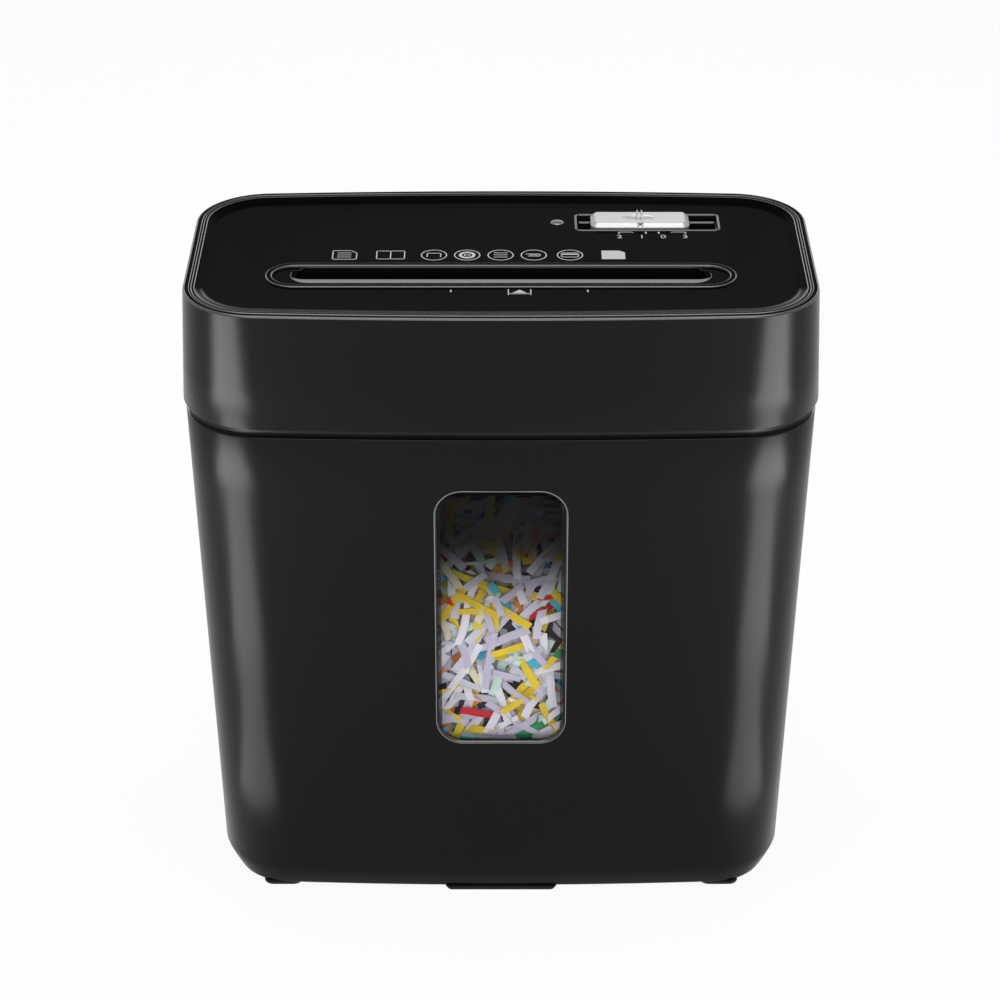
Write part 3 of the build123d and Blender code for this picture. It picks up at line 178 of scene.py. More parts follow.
def mouldedPlastic(name, colour, drift, specular, rough, patches, grain, grainScale, coat=None, metal=0.0):
    # plain moulding: fine spark-eroded grain, patchy sheen and a slight drift of the colour
    paint = Paint(name, specular=specular, metal=metal)
    cloud = paint.noise(24.0, 3.0)
    paint.feed(colour=paint.mix(cloud, shaded(colour, 1 - drift), shaded(colour, 1 + drift)))
    paint.feed(rough=rough + (paint.noise(60.0, 4.0) - 0.5) * patches)
    paint.feed(normal=paint.bump(paint.noise(grainScale), grain))
    if coat:
        where, ior, steep, level = coat
        mask = paint.edges(steep, level)
        if where == "crests":  # not on walls either
            mask = mask * (1.0 - paint.edges(0.25, 0.60))
        if where == "rear slopes":
            mask = mask * paint.fade(paint.facing("Y"), 0.02, 0.14)
        paint.feed(coat=mask, coatRough=0.20, coatIor=ior)
    return paint.material


def platedMetal(name, colour, rough, stain, grain, lineScale, stretch):
    # drawn or ground metal: fine lines along one axis, blurred patches in the sheen
    paint = Paint(name, metal=1.0)
    lines = paint.noise(lineScale, 3.0, stretch)
    patches = paint.noise(35.0, 3.0)
    tone = paint.mix(lines, shaded(colour, 0.82), shaded(colour, 1.14))
    paint.feed(colour=paint.mix(patches * stain, tone, shaded(colour, 0.55)))
    paint.feed(rough=rough + (lines - 0.5) * 0.16 + (patches - 0.5) * 0.12)
    paint.feed(normal=paint.bump(lines, grain, 0.00005))
    return paint.material


print("finishes")
plastics = {
    # colour, its drift, specular, roughness, patches in it, grain and its scale;
    # then where a clear coat shines, its index, and the normal's Z at which it starts and ends; metal
    "black_shell": ((0.0022, 0.0022, 0.0023), 0.10, 0.12, 0.27, 0.02, 0.03, 2600.0,
                    ("crests", 1.85, 0.985, 0.9995)),
    "gloss_black": ((0.0014, 0.0014, 0.0015), 0.08, 0.002, 0.18, 0.03, 0.02, 900.0,
                    ("rear slopes", 1.8, 0.93, 0.998)),
    "bezel_black": ((0.0014, 0.0014, 0.0015), 0.08, 0.002, 0.18, 0.03, 0.02, 900.0,
                    ("edges", 1.70, 0.996, 0.9999)),
    # grey of the window's bead, a painted highlight along the window's edge
    "trim_grey": ((0.15, 0.15, 0.155), 0.05, 0.04, 0.35, 0.03, 0.02, 900.0),
    "black_plastic": ((0.012, 0.012, 0.013), 0.15, 0.30, 0.45, 0.12, 0.2, 1800.0),
    "knob_silver": ((0.33, 0.33, 0.34), 0.03, 0.5, 0.30, 0.08, 0.08, 3200.0, None, 0.5),
    "lens": ((0.030, 0.032, 0.036), 0.05, 0.5, 0.12, 0.04, 0.02, 2000.0, ("edges", 1.9, 0.80, 0.97)),
    "rubber": ((0.013, 0.013, 0.014), 0.25, 0.25, 0.72, 0.14, 0.35, 1400.0),
    "gear_nylon": ((0.72, 0.70, 0.63), 0.05, 0.4, 0.42, 0.12, 0.12, 1500.0),
    "magnet": ((0.045, 0.046, 0.050), 0.30, 0.4, 0.55, 0.2, 0.4, 1200.0),
    "relay_case": ((0.025, 0.09, 0.32), 0.08, 0.45, 0.30, 0.1, 0.1, 1600.0),
    "capacitor": ((0.58, 0.40, 0.05), 0.10, 0.45, 0.35, 0.1, 0.1, 1600.0),
    "can_capacitor": ((0.018, 0.018, 0.04), 0.10, 0.5, 0.25, 0.08, 0.06, 900.0),
    "terminal_green": ((0.02, 0.22, 0.07), 0.08, 0.45, 0.38, 0.1, 0.12, 1600.0),
    "white_plastic": ((0.72, 0.72, 0.69), 0.05, 0.45, 0.38, 0.12, 0.12, 1500.0),
}
metals = {
    # colour, roughness, stains, grain, scale and stretch of the drawn lines
    "plate_steel": ((0.56, 0.57, 0.59), 0.34, 0.25, 0.12, 900.0, (1, 0.05, 1)),
    "cutter_steel": ((0.44, 0.44, 0.45), 0.28, 0.35, 0.15, 1400.0, (1, 0.08, 0.08)),
    "screw_steel": ((0.50, 0.50, 0.52), 0.30, 0.20, 0.10, 1200.0, (1, 1, 0.2)),
    "gear_steel": ((0.30, 0.30, 0.31), 0.42, 0.40, 0.30, 1500.0, (1, 1, 1)),
    "bush_bronze": ((0.60, 0.42, 0.21), 0.36, 0.40, 0.25, 1300.0, (1, 1, 1)),
    "motor_steel": ((0.52, 0.53, 0.55), 0.30, 0.20, 0.10, 1000.0, (0.06, 1, 1)),
    "armature": ((0.32, 0.24, 0.17), 0.45, 0.40, 0.30, 1800.0, (1, 0.1, 0.1)),
}
finishes = {name: mouldedPlastic(name + "Finish", *look) for name, look in plastics.items()}
finishes.update({name: platedMetal(name + "Finish", *look) for name, look in metals.items()})


def boardFinish():
    # solder mask with copper runs showing through as a lighter green grid
    look = {"mask": (0.015, 0.12, 0.04), "run": (0.04, 0.22, 0.08), "runScale": 160.0, "gap": 0.03}
    paint = Paint("boardFinish", specular=0.5)
    spot = paint.node("ShaderNodeTexCoord", {}, {}, "Object")
    runs = paint.node("ShaderNodeTexBrick", {"offset": 0.5},
                      {"Vector": spot, "Scale": look["runScale"], "Mortar Size": look["gap"],
                       "Color1": shaded(look["mask"]), "Color2": shaded(look["run"]),
                       "Mortar": shaded(look["mask"], 0.6)}, "Color")
    cloud = paint.noise(70.0, 3.0)
    paint.feed(colour=paint.mix(cloud * 0.3, runs, shaded(look["mask"])), rough=0.28 + cloud * 0.12)
    paint.feed(normal=paint.bump(cloud, 0.1))
    return paint.material


def paneFinish():
    # clear moulding, seen through by its alpha so that light still reaches what lies behind
    look = {"colour": (0.006, 0.006, 0.007), "rough": 0.08, "specular": 0.10, "alpha": 0.14,
            "haze": 0.04, "hazeScale": 45.0, "rim": (30.0, 30.6), "rimAlpha": 0.38}
    paint = Paint("paneFinish", specular=look["specular"], ior=1.49)
    haze = paint.noise(look["hazeScale"], 3.0)
    paint.feed(colour=paint.mix(haze, shaded(look["colour"], 0.92), shaded(look["colour"])))
    across = paint.node("ShaderNodeMath", {"operation": "ABSOLUTE"}, {0: paint.spot("X")})
    rim = paint.fade(across, look["rim"][0] * mm, look["rim"][1] * mm)
    paint.feed(rough=look["rough"] + haze * 0.04,
               alpha=look["alpha"] + haze * look["haze"] + rim * look["rimAlpha"])
    paint.material.surface_render_method = "BLENDED"
    return paint.material


def paperFinish(name, colour):
    # matt paper with soft fibre mottling; its colour darkens towards the top of the bin as painted shade of
    # the head
    paint = Paint(name, specular=0.03)
    fibre = paint.noise(paperLook["fibreScale"], 4.0)
    cloud = paint.noise(90.0)
    tone = paint.mix(fibre * 0.6 + cloud * 0.4, shaded(colour, 0.80), shaded(colour, 1.12))
    # painted shade: the colour is multiplied down with height
    shade = paint.fade(paint.spot("Z"), paperLook["paintedShadeFrom"] * mm, paperLook["paintedShadeTo"] * mm,
                       1.0, paperLook["paintedShadeLevel"], "SMOOTHERSTEP")
    grey = paint.node("ShaderNodeCombineColor", {}, {"Red": shade, "Green": shade, "Blue": shade})
    paint.feed(colour=paint.mix(1.0, tone, grey, "MULTIPLY"))
    paint.feed(rough=0.75 + (cloud - 0.5) * 0.2, normal=paint.bump(fibre, 0.2))
    return paint.material


def inkFinish():
    # pad-printed ink, a little uneven
    colour = (0.42, 0.42, 0.44)
    paint = Paint("inkFinish", specular=0.3)
    blot = paint.noise(900.0, 3.0)
    paint.feed(colour=paint.mix(blot, shaded(colour, 0.82), shaded(colour)), rough=0.45 + blot * 0.15)
    return paint.material


def lampFinish():
    # frosted lens that glows a little
    colour = (0.35, 0.50, 0.90)
    paint = Paint("lampFinish", specular=0.5, glow=shaded(colour), glowPower=0.4)
    frost = paint.noise(1500.0)
    paint.feed(colour=paint.mix(frost, shaded(colour, 0.85), shaded(colour)), rough=0.35 + frost * 0.15)
    return paint.material


# heights between which the paper's colour darkens as painted shade, and how dark it gets
paperLook = {"fibreScale": 1600.0, "paintedShadeFrom": 143.0, "paintedShadeTo": 219.0, "paintedShadeLevel": 0.012}
shredColours = {  # colour, and share of the shreds
    "white": ((0.80, 0.78, 0.85), 0.19), "lavender": ((0.58, 0.54, 0.68), 0.14),
    "pale": ((0.64, 0.64, 0.74), 0.13), "yellow": ((0.82, 0.60, 0.05), 0.22),
    "mint": ((0.60, 0.77, 0.70), 0.11), "cream": ((0.76, 0.72, 0.48), 0.08),
    "cyan": ((0.08, 0.48, 0.64), 0.05), "orange": ((0.80, 0.24, 0.05), 0.03),
    "green": ((0.05, 0.32, 0.13), 0.02), "red": ((0.62, 0.04, 0.05), 0.03),
}
# the core's dark paper colour is painted shade between the shreds
finishes.update({"board": boardFinish(), "clear_pane": paneFinish(), "lamp": lampFinish(),
                 "ink": inkFinish(), "paper_core": paperFinish("shadeCorePaperFinish", (0.11, 0.09, 0.11))})
for name, (colour, share) in shredColours.items():
    finishes["paper_" + name] = paperFinish(name + "PaperFinish", colour)


def finishPiece(bm, name, body, slot, finish=None, replaced=(), sharp=32.0):
    # millimetres to metres, smooth shading with sharp corners kept, then the body and the finish, which is
    # the slot's own unless another is named
    bmesh.ops.remove_doubles(bm, verts=bm.verts, dist=0.002)
    bmesh.ops.scale(bm, vec=(mm, mm, mm), verts=bm.verts)
    bmesh.ops.recalc_face_normals(bm, faces=bm.faces)
    return dress(bm, name, body, slot, finish, replaced, sharp)


def dress(bm, name, body, slot, finish, replaced, sharp):
    mesh = bpy.data.meshes.new(name)
    bm.to_mesh(mesh)
    bm.free()
    mesh.polygons.foreach_set("use_smooth", [True] * len(mesh.polygons))
    mesh.set_sharp_from_angle(angle=math.radians(sharp))
    mesh.materials.append(finishes[finish or slot])
    piece = bpy.data.objects.new(name, mesh)
    bpy.context.scene.collection.objects.link(piece)
    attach(piece, body)
    if replaced:
        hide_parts(*replaced)
    return piece


def smoothCopy(node, name, body, slot):
    # the CAD piece's own shape, welded and shaded smooth
    bm = bmesh.new()
    bm.from_mesh(nodes[node].data)
    bmesh.ops.remove_doubles(bm, verts=bm.verts, dist=0.000002)
    dress(bm, name, body, slot, None, (node,), 32.0)


def bowedPoints(width, depth, corner, crown, cornerSteps=16, sideSteps=9):
    # once round a rounded rectangle whose long sides bow out
    halfX, halfY = width / 2, depth / 2
    bow = (halfX ** 2 + crown ** 2) / (2 * crown)
    middleX = halfX - corner
    middleY = halfY - bow + math.sqrt((bow - corner) ** 2 - middleX ** 2)
    turn = math.atan2(middleY - halfY + bow, middleX)
    quarter = []
    for step in range(cornerSteps + 1):
        angle = turn * step / cornerSteps
        quarter.append((middleX + corner * math.cos(angle), middleY + corner * math.sin(angle)))
    for step in range(1, sideSteps + 1):
        angle = turn + (math.pi / 2 - turn) * step / sideSteps
        quarter.append((bow * math.cos(angle), halfY - bow + bow * math.sin(angle)))
    half = quarter + [(-x, y) for x, y in reversed(quarter[:-1])]
    return half + [(-x, -y) for x, y in half]


def roundedPoints(width, depth, corner, middle=(0, 0), steps=8):
    # once round a rounded rectangle
    points = []
    for sideX, sideY, start in ((1, 1, 0), (-1, 1, 90), (-1, -1, 180), (1, -1, 270)):
        for step in range(steps + 1):
            angle = math.radians(start + 90 * step / steps)
            points.append((middle[0] + sideX * (width / 2 - corner) + corner * math.cos(angle),
                           middle[1] + sideY * (depth / 2 - corner) + corner * math.sin(angle)))
    return points


def roundEdge(radius, steps=4):
    # quarter round as (drop, inset) pairs, from the wall to the top
    turns = [math.pi / 2 * step / steps for step in range(steps + 1)]
    return [(radius * (1 - math.sin(turn)), radius * (1 - math.cos(turn))) for turn in turns]


def addRing(bm, points, z):
    # closed ring of vertices; z is one height or one for each point
    ring = bmesh.ops.create_circle(bm, segments=len(points), radius=1.0)["verts"]
    heights = z if isinstance(z, list) else [z] * len(points)
    for vert, (x, y), height in zip(ring, points, heights):
        vert.co = (x, y, height)
    return ring


def ringEdges(ring):
    inside = set(ring)
    return list({edge for vert in ring for edge in vert.link_edges if edge.other_vert(vert) in inside})


def skin(bm, rings, closed=False):
    # walls between one ring and the next
    pairs = list(zip(rings, rings[1:]))
    if closed:
        pairs.append((rings[-1], rings[0]))
    for first, second in pairs:
        bmesh.ops.bridge_loops(bm, edges=ringEdges(first) + ringEdges(second))


def cap(bm, ring):
    bmesh.ops.contextual_create(bm, geom=ringEdges(ring))


def skinAndCap(bm, rings):
    skin(bm, rings)
    cap(bm, rings[0])
    cap(bm, rings[-1])


def trimOff(bm, place, normal):
    # cuts the mesh at a plane and closes the hole
    bmesh.ops.bisect_plane(bm, geom=bm.verts[:] + bm.edges[:] + bm.faces[:], plane_co=place,
                           plane_no=normal, clear_outer=True)
    bmesh.ops.holes_fill(bm, edges=[edge for edge in bm.edges if edge.is_boundary])


def thicken(bm, thickness):
    # makes open sheets solid
    bm.normal_update()
    for item in bmesh.ops.extrude_face_region(bm, geom=bm.faces[:])["geom"]:
        if isinstance(item, bmesh.types.BMVert):
            item.co -= item.normal * thickness


def addBlock(bm, low, high, soft=0.0):
    # block between two corners, with rounded edges
    made = bmesh.ops.create_cube(bm, size=1.0)["verts"]
    bmesh.ops.scale(bm, vec=[b - a for a, b in zip(low, high)], verts=made)
    bmesh.ops.translate(bm, vec=[(a + b) / 2 for a, b in zip(low, high)], verts=made)
    if soft > 0:
        edges = list({edge for vert in made for edge in vert.link_edges})
        bmesh.ops.bevel(bm, geom=edges, offset=soft, segments=3, profile=0.5, affect="EDGES", material=-1)


def cutAway(piece, cutters, sharp=32.0):
    # takes the cutters out of the piece and keeps the result
    for cutter in cutters:
        mesh = bpy.data.meshes.new("cutter")
        bmesh.ops.scale(cutter, vec=(mm, mm, mm), verts=cutter.verts)
        bmesh.ops.recalc_face_normals(cutter, faces=cutter.faces)
        cutter.to_mesh(mesh)
        cutter.free()
        knife = bpy.data.objects.new("cutter", mesh)
        bpy.context.scene.collection.objects.link(knife)
        boolean = piece.modifiers.new("opening", "BOOLEAN")
        boolean.object = knife
        boolean.operation = "DIFFERENCE"
        boolean.solver = "EXACT"
        bpy.context.view_layer.update()
        shown = piece.evaluated_get(bpy.context.evaluated_depsgraph_get())
        carved = bpy.data.meshes.new_from_object(shown)
        piece.modifiers.clear()
        piece.data = carved
        bpy.data.objects.remove(knife)
    piece.data.set_sharp_from_angle(angle=math.radians(sharp))


print("bin")
binLow, binHigh = boxOf("bin_shell")
binLook = {
    "top": 274.2, "corner": 39.5, "crown": 4.8, "taper": 1.94, "wall": 2.5, "footRound": 1.2, "rimRound": 0.9,
    "lipRound": 0.6, "skirtTop": 13.0, "skirtX": 8.2, "skirtY": 2.8, "skirtCorner": 27.0, "skirtCurve": 1.34,
    "outside": (3.6, 4.8, 6.2, 7.8, 9.4, 11.2, 13.0, 60.0, 120.0, 180.0, 240.0),  # heights of the rings
    "inside": (240.0, 120.0, 60.0, 13.0, 8.0, 5.5),
}
windowLook = {"width": 64.0, "height": 147.6, "middle": 170.3, "corner": 12.6, "round": 1.1}


def binSize(z, inset):
    # width, depth and corner radius of the bin's wall at height z
    share = max(0.0, (binLook["skirtTop"] - z) / (binLook["skirtTop"] - binLow.z))
    share = share ** binLook["skirtCurve"]
    lean = (binLook["top"] - z) * math.tan(math.radians(binLook["taper"])) + inset
    width = binHigh.x - binLow.x - 2 * (lean + binLook["skirtX"] * share)
    depth = binHigh.y - binLow.y - 2 * (lean + binLook["skirtY"] * share)
    corner = binLook["corner"] + (binLook["skirtCorner"] - binLook["corner"]) * share - inset
    return width, depth, corner


def binRing(bm, z, inset=0.0):
    return addRing(bm, bowedPoints(*binSize(z, inset), binLook["crown"]), z)


def frontWall(x, z, inset=0.0):
    # y of the bin's front wall at x and z
    width, depth, corner = binSize(z, inset)
    bow = ((width / 2) ** 2 + binLook["crown"] ** 2) / (2 * binLook["crown"])
    return -(depth / 2 - bow + math.sqrt(bow ** 2 - x ** 2))


def wallRing(bm, points, inset):
    # ring that lies on the front wall, set back by inset
    ring = bmesh.ops.create_circle(bm, segments=len(points), radius=1.0)["verts"]
    for vert, (x, z) in zip(ring, points):
        vert.co = (x, frontWall(x, z) + inset, z)
    return ring


def windowRing(bm, grow, inset, steps=8):
    # rounded outline of the window, wider all round by grow
    return wallRing(bm, roundedPoints(windowLook["width"] + 2 * grow, windowLook["height"] + 2 * grow,
                                      windowLook["corner"] + grow, (0, windowLook["middle"]), steps), inset)


def fillWindow(bm, ring, inset):
    # closes a window ring with smaller rings that follow the wall
    rings = [ring]
    points = [(vert.co.x, vert.co.z) for vert in ring]
    middle = windowLook["middle"]
    for share in (0.75, 0.5, 0.25, 0.04):
        smaller = [(x * share, middle + (z - middle) * share) for x, z in points]
        rings.append(wallRing(bm, smaller, inset))
    skin(bm, rings)
    cap(bm, rings[-1])


def onWindowEdge(co):
    # true where the window's round runs into the face of the front wall
    x, y, z = co / mm
    near = abs(x) < 40 and abs(z - windowLook["middle"]) < 80
    return near and abs(y - frontWall(x, z)) < 0.1


def creaseWindow(piece):
    # keeps the round from bending the shading of the wall beside it
    bm = bmesh.new()
    bm.from_mesh(piece.data)
    for edge in bm.edges:
        if edge.is_manifold and edge.calc_face_angle() > math.radians(4.0):
            if all(onWindowEdge(vert.co) for vert in edge.verts):
                edge.smooth = False
    bm.to_mesh(piece.data)
    bm.free()


def buildBin():
    bm = bmesh.new()
    wall, low, top = binLook["wall"], binLow.z, binLook["top"]
    rings = [binRing(bm, low, 6.0)]
    for drop, inset in reversed(roundEdge(binLook["footRound"])):
        rings.append(binRing(bm, low + drop, inset))
    for z in binLook["outside"]:
        rings.append(binRing(bm, z))
    for drop, inset in roundEdge(binLook["rimRound"], 2):
        rings.append(binRing(bm, top - drop, inset))
    for drop, inset in reversed(roundEdge(binLook["lipRound"])):
        rings.append(binRing(bm, top - drop, wall - inset))
    for z in binLook["inside"]:
        rings.append(binRing(bm, z, wall))
    rings.append(binRing(bm, low + wall, wall + 1.0))
    skinAndCap(bm, rings)
    shell = finishPiece(bm, "binShell", "bin", "black_shell", replaced=("bin_shell",))
    cutter = bmesh.new()
    soft = windowLook["round"]
    profile = [(soft, -3.0)]
    for step in range(7):
        turn = math.pi / 2 * step / 6
        profile.append((soft * (1 - math.sin(turn)), soft * (1 - math.cos(turn))))
    profile.append((0.0, wall + 4.0))
    skinAndCap(cutter, [windowRing(cutter, grow, inset) for grow, inset in profile])
    cutAway(shell, [cutter])
    creaseWindow(shell)


def buildTrim():
    # fine bead round the window, drawn as (outwards, inwards) steps; its grey colour is a painted highlight
    # along the window's edge
    profile = ((1.0, 0.4), (1.0, -0.02), (1.2, -0.12), (1.4, -0.02), (1.4, 0.4))
    bm = bmesh.new()
    skin(bm, [windowRing(bm, grow, inset, 12) for grow, inset in profile], closed=True)
    finishPiece(bm, "windowTrim", "bin", "black_shell", "trim_grey", ("bin_shell",), 60.0)


def buildTab():
    # tab on the rear wall that presses the interlock, and the rib behind it
    look = {"tab": ((54.0, 72.2, 252.0), (66.0, 74.2, 284.0), 0.4),
            "rib": ((58.0, 74.0, 252.0), (62.0, 78.4, 264.0), 0.3)}
    bm = bmesh.new()
    for block in look.values():
        addBlock(bm, *block)
    finishPiece(bm, "interlockTab", "bin", "black_shell", replaced=("bin_shell",))


def buildPane():
    # raised clear panel that fills the opening, with a flange glued behind the wall
    look = {"fit": 0.2, "recess": 0.6, "flange": 5.0, "thick": 1.5, "round": 0.5, "glue": 0.05}
    bm = bmesh.new()
    back, seat = binLook["wall"] + look["thick"], binLook["wall"] + look["glue"]
    rings = [windowRing(bm, look["flange"], back), windowRing(bm, look["flange"], seat),
             windowRing(bm, -look["fit"], seat)]
    for drop, inset in roundEdge(look["round"]):
        rings.append(windowRing(bm, -look["fit"] - inset, look["recess"] + drop))
    skin(bm, rings)
    fillWindow(bm, rings[-1], look["recess"])
    fillWindow(bm, rings[0], back)
    finishPiece(bm, "windowPane", "bin", "clear_pane", replaced=("window_pane",))


def buildFeet():
    look = {"size": (20.4, 16.0), "round": 0.5, "hollow": (3.0, 0.35), "tread": 2.4, "lean": 0.05}
    for node, name, corner in (("corner_feet", "cornerFeet", 5.0), ("front_foot", "frontFoot", 2.0)):
        low, high = boxOf(node)
        width, depth = look["size"]
        middles = [(x, y) for x in (low.x + width / 2, high.x - width / 2)
                   for y in (low.y + depth / 2, high.y - depth / 2)]
        if node == "front_foot":
            width, depth = high.x - low.x, high.y - low.y
            middles = [((low.x + high.x) / 2, (low.y + high.y) / 2)]
        bm = bmesh.new()
        for middle in middles:
            def footRing(less, z):
                return addRing(bm, roundedPoints(width - less, depth - less, corner - less / 2, middle), z)

            rings = [footRing(*look["hollow"])]
            rings += [footRing(2 * inset, drop) for drop, inset in reversed(roundEdge(look["round"]))]
            rings.insert(1, footRing(look["tread"], 0.0))
            rings.append(footRing(0.0, high.z))
            skinAndCap(bm, rings)
        if node == "front_foot":
            for vert in bm.verts:  # its ends lean in towards the floor
                vert.co.x *= 1 - look["lean"] * max(0.0, 1 - vert.co.z / high.z)
        finishPiece(bm, name, "bin", "rubber", replaced=(node,))


buildBin()
buildTrim()
buildTab()
buildPane()
buildFeet()

print("shreds")
heapLook = {
    "inset": 4.8, "top": 240.0, "slope": 0.98, "seed": 11,
    "length": (22.0, 48.0), "width": 4.3, "widths": (0.85, 1.05), "thick": 0.14,
    "curl": (0.002, 0.035), "twist": (-0.03, 0.03), "segments": 6,
    "clear": (1.0, 6.0, 0.3),  # to the side walls, the rear wall and the pane
    "bank": (10.0, 18.0),  # rise against the front wall, and how far back it reaches
    "core": (12.0, 40.0, 80.0, 120.0, 160.0, 200.0, 232.0), "coreInset": 5.0, "coreDrop": 7.0,
}
windowLayer = {"count": 520, "x": (-40, 40), "z": (-84, 76), "depth": 9.0, "crowding": 1.2, "gap": 0.5,
               "under": 2, "turnX": (0, 0.16), "turnZ": (0.1, 0.18), "lift": (0, 0.5)}
topLayer = {"count": 1250, "x": (-132, 132), "y": (-74, 66), "sunk": (0.5, 6.0), "turn": (0, 0.35)}


def heapTop(y):
    rise, reach = heapLook["bank"]
    back = y - binLow.y
    return heapLook["top"] - heapLook["slope"] * back + rise * max(0.0, 1 - back / reach)


def buildHeap():
    # core that the loose shreds lie on; its dark colour is painted shade in the gaps between them
    bm = bmesh.new()
    inset = heapLook["inset"] + heapLook["coreInset"]
    foot = boxOf("paper_shreds")[0].z + 1.0
    skinAndCap(bm, [binRing(bm, z, inset) for z in (foot,) + heapLook["core"]])
    trimOff(bm, (0, binLow.y, heapLook["top"] - heapLook["coreDrop"]), (0, heapLook["slope"], 1))
    finishPiece(bm, "shredCore", "bin", "paper", "paper_core", ("paper_shreds",))


def stayInside(co, lift):
    # keeps a shred's corner behind the pane, under the heap's top and off the walls
    width, depth, corner = binSize(co.z, heapLook["inset"])
    side, rear, front = heapLook["clear"]
    halfX, halfY = width / 2 - side, depth / 2 - rear
    co.x = max(-halfX, min(halfX, co.x))
    co.y = max(frontWall(co.x, co.z, heapLook["inset"]) + front + lift, min(halfY, co.y))
    overX, overY = abs(co.x) - halfX + corner, abs(co.y) - halfY + corner
    reach = math.hypot(overX, overY)
    if overX > 0 and overY > 0 and reach > corner:
        co.x = math.copysign(halfX - corner + overX * corner / reach, co.x)
        co.y = math.copysign(halfY - corner + overY * corner / reach, co.y)
    co.z = min(co.z, heapTop(co.y))


def addShred(bm, middle, normal, spin, dice, lift):
    # one curled ribbon
    length = dice.uniform(*heapLook["length"])
    width = heapLook["width"] * dice.uniform(*heapLook["widths"])
    made = bmesh.ops.create_grid(bm, x_segments=heapLook["segments"], y_segments=1, size=0.5)["verts"]
    curl = dice.choice((1, -1)) * dice.uniform(*heapLook["curl"])
    twist = dice.uniform(*heapLook["twist"])
    turned = normal.to_track_quat("Z", "Y").to_matrix() @ Matrix.Rotation(spin, 3, "Z")
    for vert in made:
        along, over = vert.co.x * length, vert.co.y * width
        bend = curl * along
        spot = Vector((math.sin(bend) / curl, over, (1 - math.cos(bend)) / curl))
        spot.rotate(Matrix.Rotation(twist * along, 3, "X"))
        vert.co = Vector(middle) + turned @ spot
        stayInside(vert.co, lift)


def buildShreds():
    dice = random.Random(heapLook["seed"])
    names = list(shredColours)
    weights = [share for colour, share in shredColours.values()]
    meshes = {name: bmesh.new() for name in names}
    look = windowLayer
    for count in range(look["count"]):  # close behind the pane
        depth = look["depth"] * dice.random() ** look["crowding"]
        x = dice.uniform(*look["x"])
        z = windowLook["middle"] + dice.uniform(*look["z"])
        z = min(z, heapTop(frontWall(x, z, heapLook["inset"])) - look["under"])
        normal = Vector((dice.gauss(*look["turnX"]), -1, dice.gauss(*look["turnZ"]))).normalized()
        middle = (x, frontWall(x, z, heapLook["inset"]) + look["gap"] + depth, z)
        addShred(meshes[dice.choices(names, weights)[0]], middle, normal,
                 dice.uniform(0, math.pi), dice, dice.uniform(*look["lift"]))
    look = topLayer
    slope = Vector((0, heapLook["slope"], 1)).normalized()
    for count in range(look["count"]):  # on top of the heap
        x = dice.uniform(*look["x"])
        y = dice.uniform(*look["y"])
        normal = (slope + Vector((dice.gauss(*look["turn"]), dice.gauss(*look["turn"]), 0))).normalized()
        middle = (x, y, heapTop(y) - dice.uniform(*look["sunk"]))
        addShred(meshes[dice.choices(names, weights)[0]], middle, normal,
                 dice.uniform(0, math.pi), dice, 0.0)
    for name, bm in meshes.items():
        thicken(bm, heapLook["thick"])
        finishPiece(bm, name + "Shreds", "bin", "paper", "paper_" + name, ("paper_shreds",), 50.0)


buildHeap()
buildShreds()

print("head")
headLow, headHigh = boxOf("head_shell")
panelLow, panelHigh = boxOf("top_panel")
headLook = {
    "rimWidth": 313.0, "rimDepth": 161.4, "corner": 42.8, "rimCorner": 36.8, "crown": 5.2, "wall": 2.5,
    "foot": (1.7, 0.6, 1.5, 0.35),  # height and depth of the step, lean below it, round above it
    "levels": (300.0, 320.0), "edge": 1.0, "lip": 0.4, "panelInset": 3.3, "ledge": 9.0, "shelf": 2.5,
    "posts": {"x": 95.0, "y": 71.0, "size": 8.0, "low": 277.25, "high": 291.0},
    "ribs": {"half": 1.0, "end": 79.0, "low": 281.3, "high": 290.8},
    "glandHole": (6.0, 84.0, 20.0),  # radius, place in the rear wall and depth
}
shadeGap = 0.12  # a ring this far from a round keeps the shading of the flat beside it level


def headSize(z, inset):
    # width, depth and corner radius of the head's wall at height z
    share = (z - headLow.z) / (headHigh.z - headLow.z)
    width = headHigh.x - headLow.x + (headLook["rimWidth"] - headHigh.x + headLow.x) * share
    depth = headHigh.y - headLow.y + (headLook["rimDepth"] - headHigh.y + headLow.y) * share
    corner = headLook["corner"] + (headLook["rimCorner"] - headLook["corner"]) * share
    return width - 2 * inset, depth - 2 * inset, corner - inset


def headRing(bm, z, inset):
    return addRing(bm, bowedPoints(*headSize(z, inset), headLook["crown"]), z)


def addPosts(bm):
    # screw posts inside the head, each with a rib to the wall
    posts, ribs = headLook["posts"], headLook["ribs"]
    for x in (-posts["x"], posts["x"]):
        for side in (-1, 1):
            points = roundedPoints(posts["size"], posts["size"], posts["size"] / 2 - 0.02,
                                   (x, side * posts["y"]), 5)
            skinAndCap(bm, [addRing(bm, points, z) for z in (posts["low"], posts["high"])])
            near, far = sorted((side * posts["y"], side * ribs["end"]))
            addBlock(bm, (x - ribs["half"], near, ribs["low"]), (x + ribs["half"], far, ribs["high"]))


